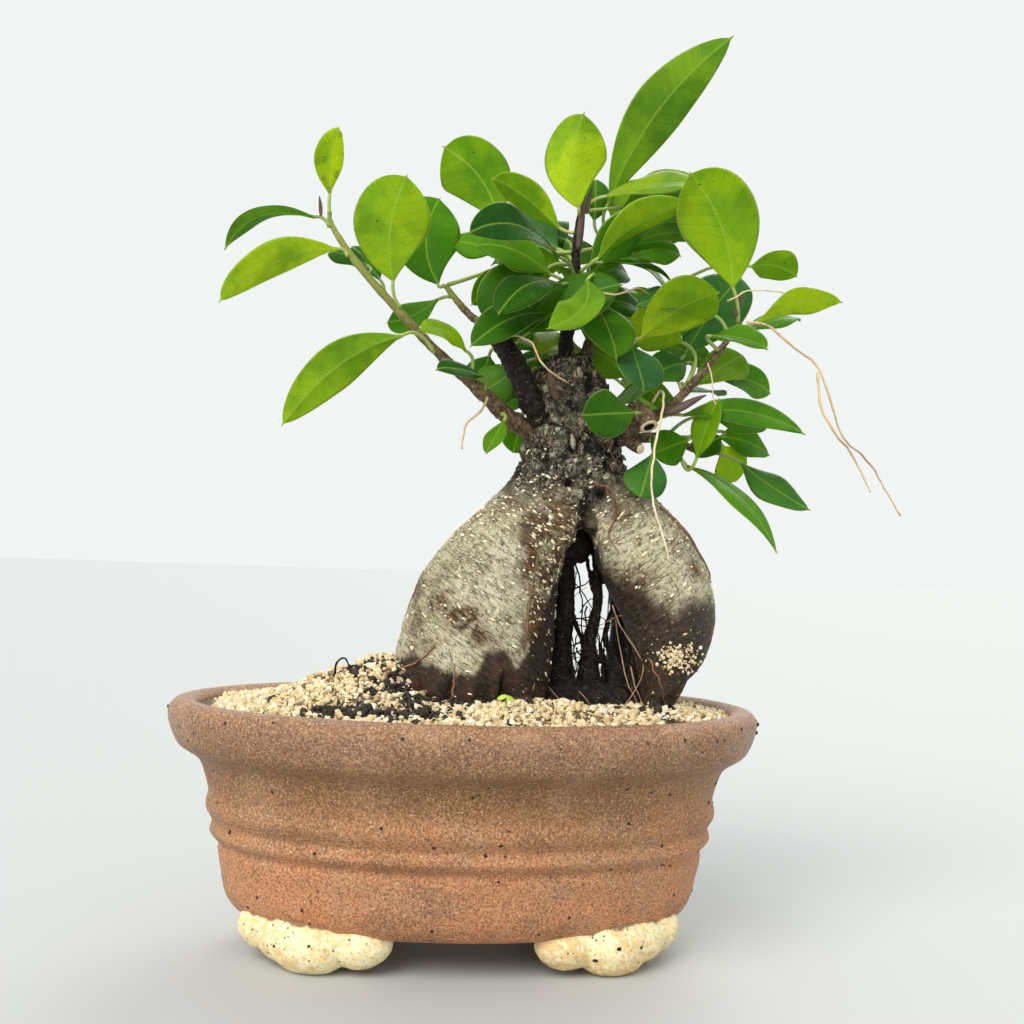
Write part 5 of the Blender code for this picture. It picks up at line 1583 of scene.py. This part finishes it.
# Roots that loop out of the soil, then thin pale ones in the crown
SOIL_ROOTS = (
    (0.34, (-38, -12, 77), (-37.5, -13, 81), (-35.6, -13, 82.6), (-34.2, -13, 80.8), (-33.6, -14, 77)),
    (0.30, (-35, -12, 78), (-33.5, -13, 80.5), (-31, -14, 80.2), (-29.5, -14, 78)),
    (0.30, (-24, -14, 79), (-21.5, -15, 80.8), (-18.8, -16, 79.8)),
    (0.26, (-24, -20, 72), (-20, -22, 76.5), (-16, -22, 80.5)),
)
CROWN_ROOTS = (
    (0.32, (28, -13, 188), (31, -16, 188.4), (34, -18, 187.3), (38.5, -18, 187.8), (43, -17, 189.7), (47, -13, 189)),
    (0.34, (7, -13, 175), (10, -16, 174.3), (13.6, -20, 171.5), (15.7, -22, 166.5), (19.2, -22, 163.4), (24, -16, 162)),
    (0.26, (70, -14, 188), (76, -16, 191), (84, -16, 191), (88, -15, 190)),
    (0.24, (65, -13, 170), (66, -14, 165), (66.5, -14, 160), (67.5, -14, 158)),
)
CREASE_SHADE_PLUG = ((31.0, 2.5, 116.5), (4.5, 3.5, 5.5))  # near-black lump behind the crease, standing in for the shade there: centre and half sizes
UPRIGHT_FIBRES, CROSSING_FIBRES = 26, 14


def make_arch_roots():
    dark = dark_wood("black_root")
    parts = [thick_root(knots) for knots in ARCH_ROOTS] + [ball(*CREASE_SHADE_PLUG)]
    obj, points, normals = grown("arch_roots", parts, ROOT_VOXEL, 3)
    amount = 0.5 * noise_at(points, (0.3, 0.3, 0.12), 3) + 0.25 * noise_at(points, 1.1)
    dress(obj, points + normals * amount[:, None], dark, "bark")
    fibres = []
    for _ in range(UPRIGHT_FIBRES):
        top = rng.uniform((26, 0, 82), (49, 13, 117))
        low = np.array([top[0] + rng.normal(0, 5), top[1] - rng.uniform(0, 12), 69 + rng.uniform(0, 9)])
        middle = (top + low) / 2 + rng.normal(0, 2.2, 3)
        fibres.append(strand((top, middle, low), rng.uniform(0.12, 0.30), 7, 6, 1.1, 0.5))
    for _ in range(CROSSING_FIBRES):
        left = rng.uniform((27, -3, 76), (33, 8, 104))
        right = left + np.array([rng.uniform(6, 16), rng.uniform(-4, 4), rng.uniform(-9, 9)])
        middle = (left + right) / 2 + rng.normal(0, 1.6, 3)
        fibres.append(strand((left, middle, right), rng.uniform(0.12, 0.26), 7, 6, 0.9))
    new_piece("arch_rootlets", *join_parts(fibres), [dark], "bark")


def thick_root(knots):
    route = catmull(knots, 5)
    rings = tube_rings(route[:, :3], route[:, 3], 14)
    return rings.reshape(-1, 3), skin(rings)


def make_rootlets(trunk_tree):
    brown = root_skin("brown_rootlet", (0.30, 0.140, 0.070), (0.09, 0.042, 0.024))
    tan = root_skin("tan_rootlet", (0.46, 0.28, 0.15), (0.20, 0.11, 0.06))
    laid = [tapered(laid_on(trunk_tree, row[1:], 0.22), 0.95 * row[0]) for row in LAID_ROOTS]
    new_piece("laid_rootlets", *join_parts(laid), [brown], "aerial_root")
    hanging = [strand(row[1:], 0.75 * row[0], 6, 8, 0.25, 0.5) for row in LONG_ROOTLETS]
    new_piece("hanging_rootlets", *join_parts(hanging), [tan], "aerial_root")
    in_soil = [strand(row[1:], row[0], 6, 8, 0.2, 0.6) for row in SOIL_ROOTS]
    new_piece("soil_rootlets", *join_parts(in_soil), [dark_wood("black_rootlet")], "aerial_root")
    pale = root_skin("pale_rootlet", (0.74, 0.58, 0.34), (0.44, 0.26, 0.12))
    in_crown = [strand(row[1:], row[0], 7, 8, 0.3, 0.7) for row in CROWN_ROOTS]
    new_piece("crown_rootlets", *join_parts(in_crown), [pale], "aerial_root")


# ---------------------------------------------------------------- the whole plant

make_camera()
make_studio()
pot = make_pot()
make_pot_crumbs(pot)
make_feet()
for side in ("left", "right"):
    paint_node("drainage_screen_" + side, screen_plastic())


trunk = make_trunk()
trunk_tree = tree_of(trunk[0], trunk[1])
make_lenticels(trunk)
make_bark_plates(trunk)
make_stuck_grains(trunk)
make_arch_roots()
make_rootlets(trunk_tree)
make_ground()
make_sprout()
make_stems()
make_roots()
make_wood_details()
make_leaves()
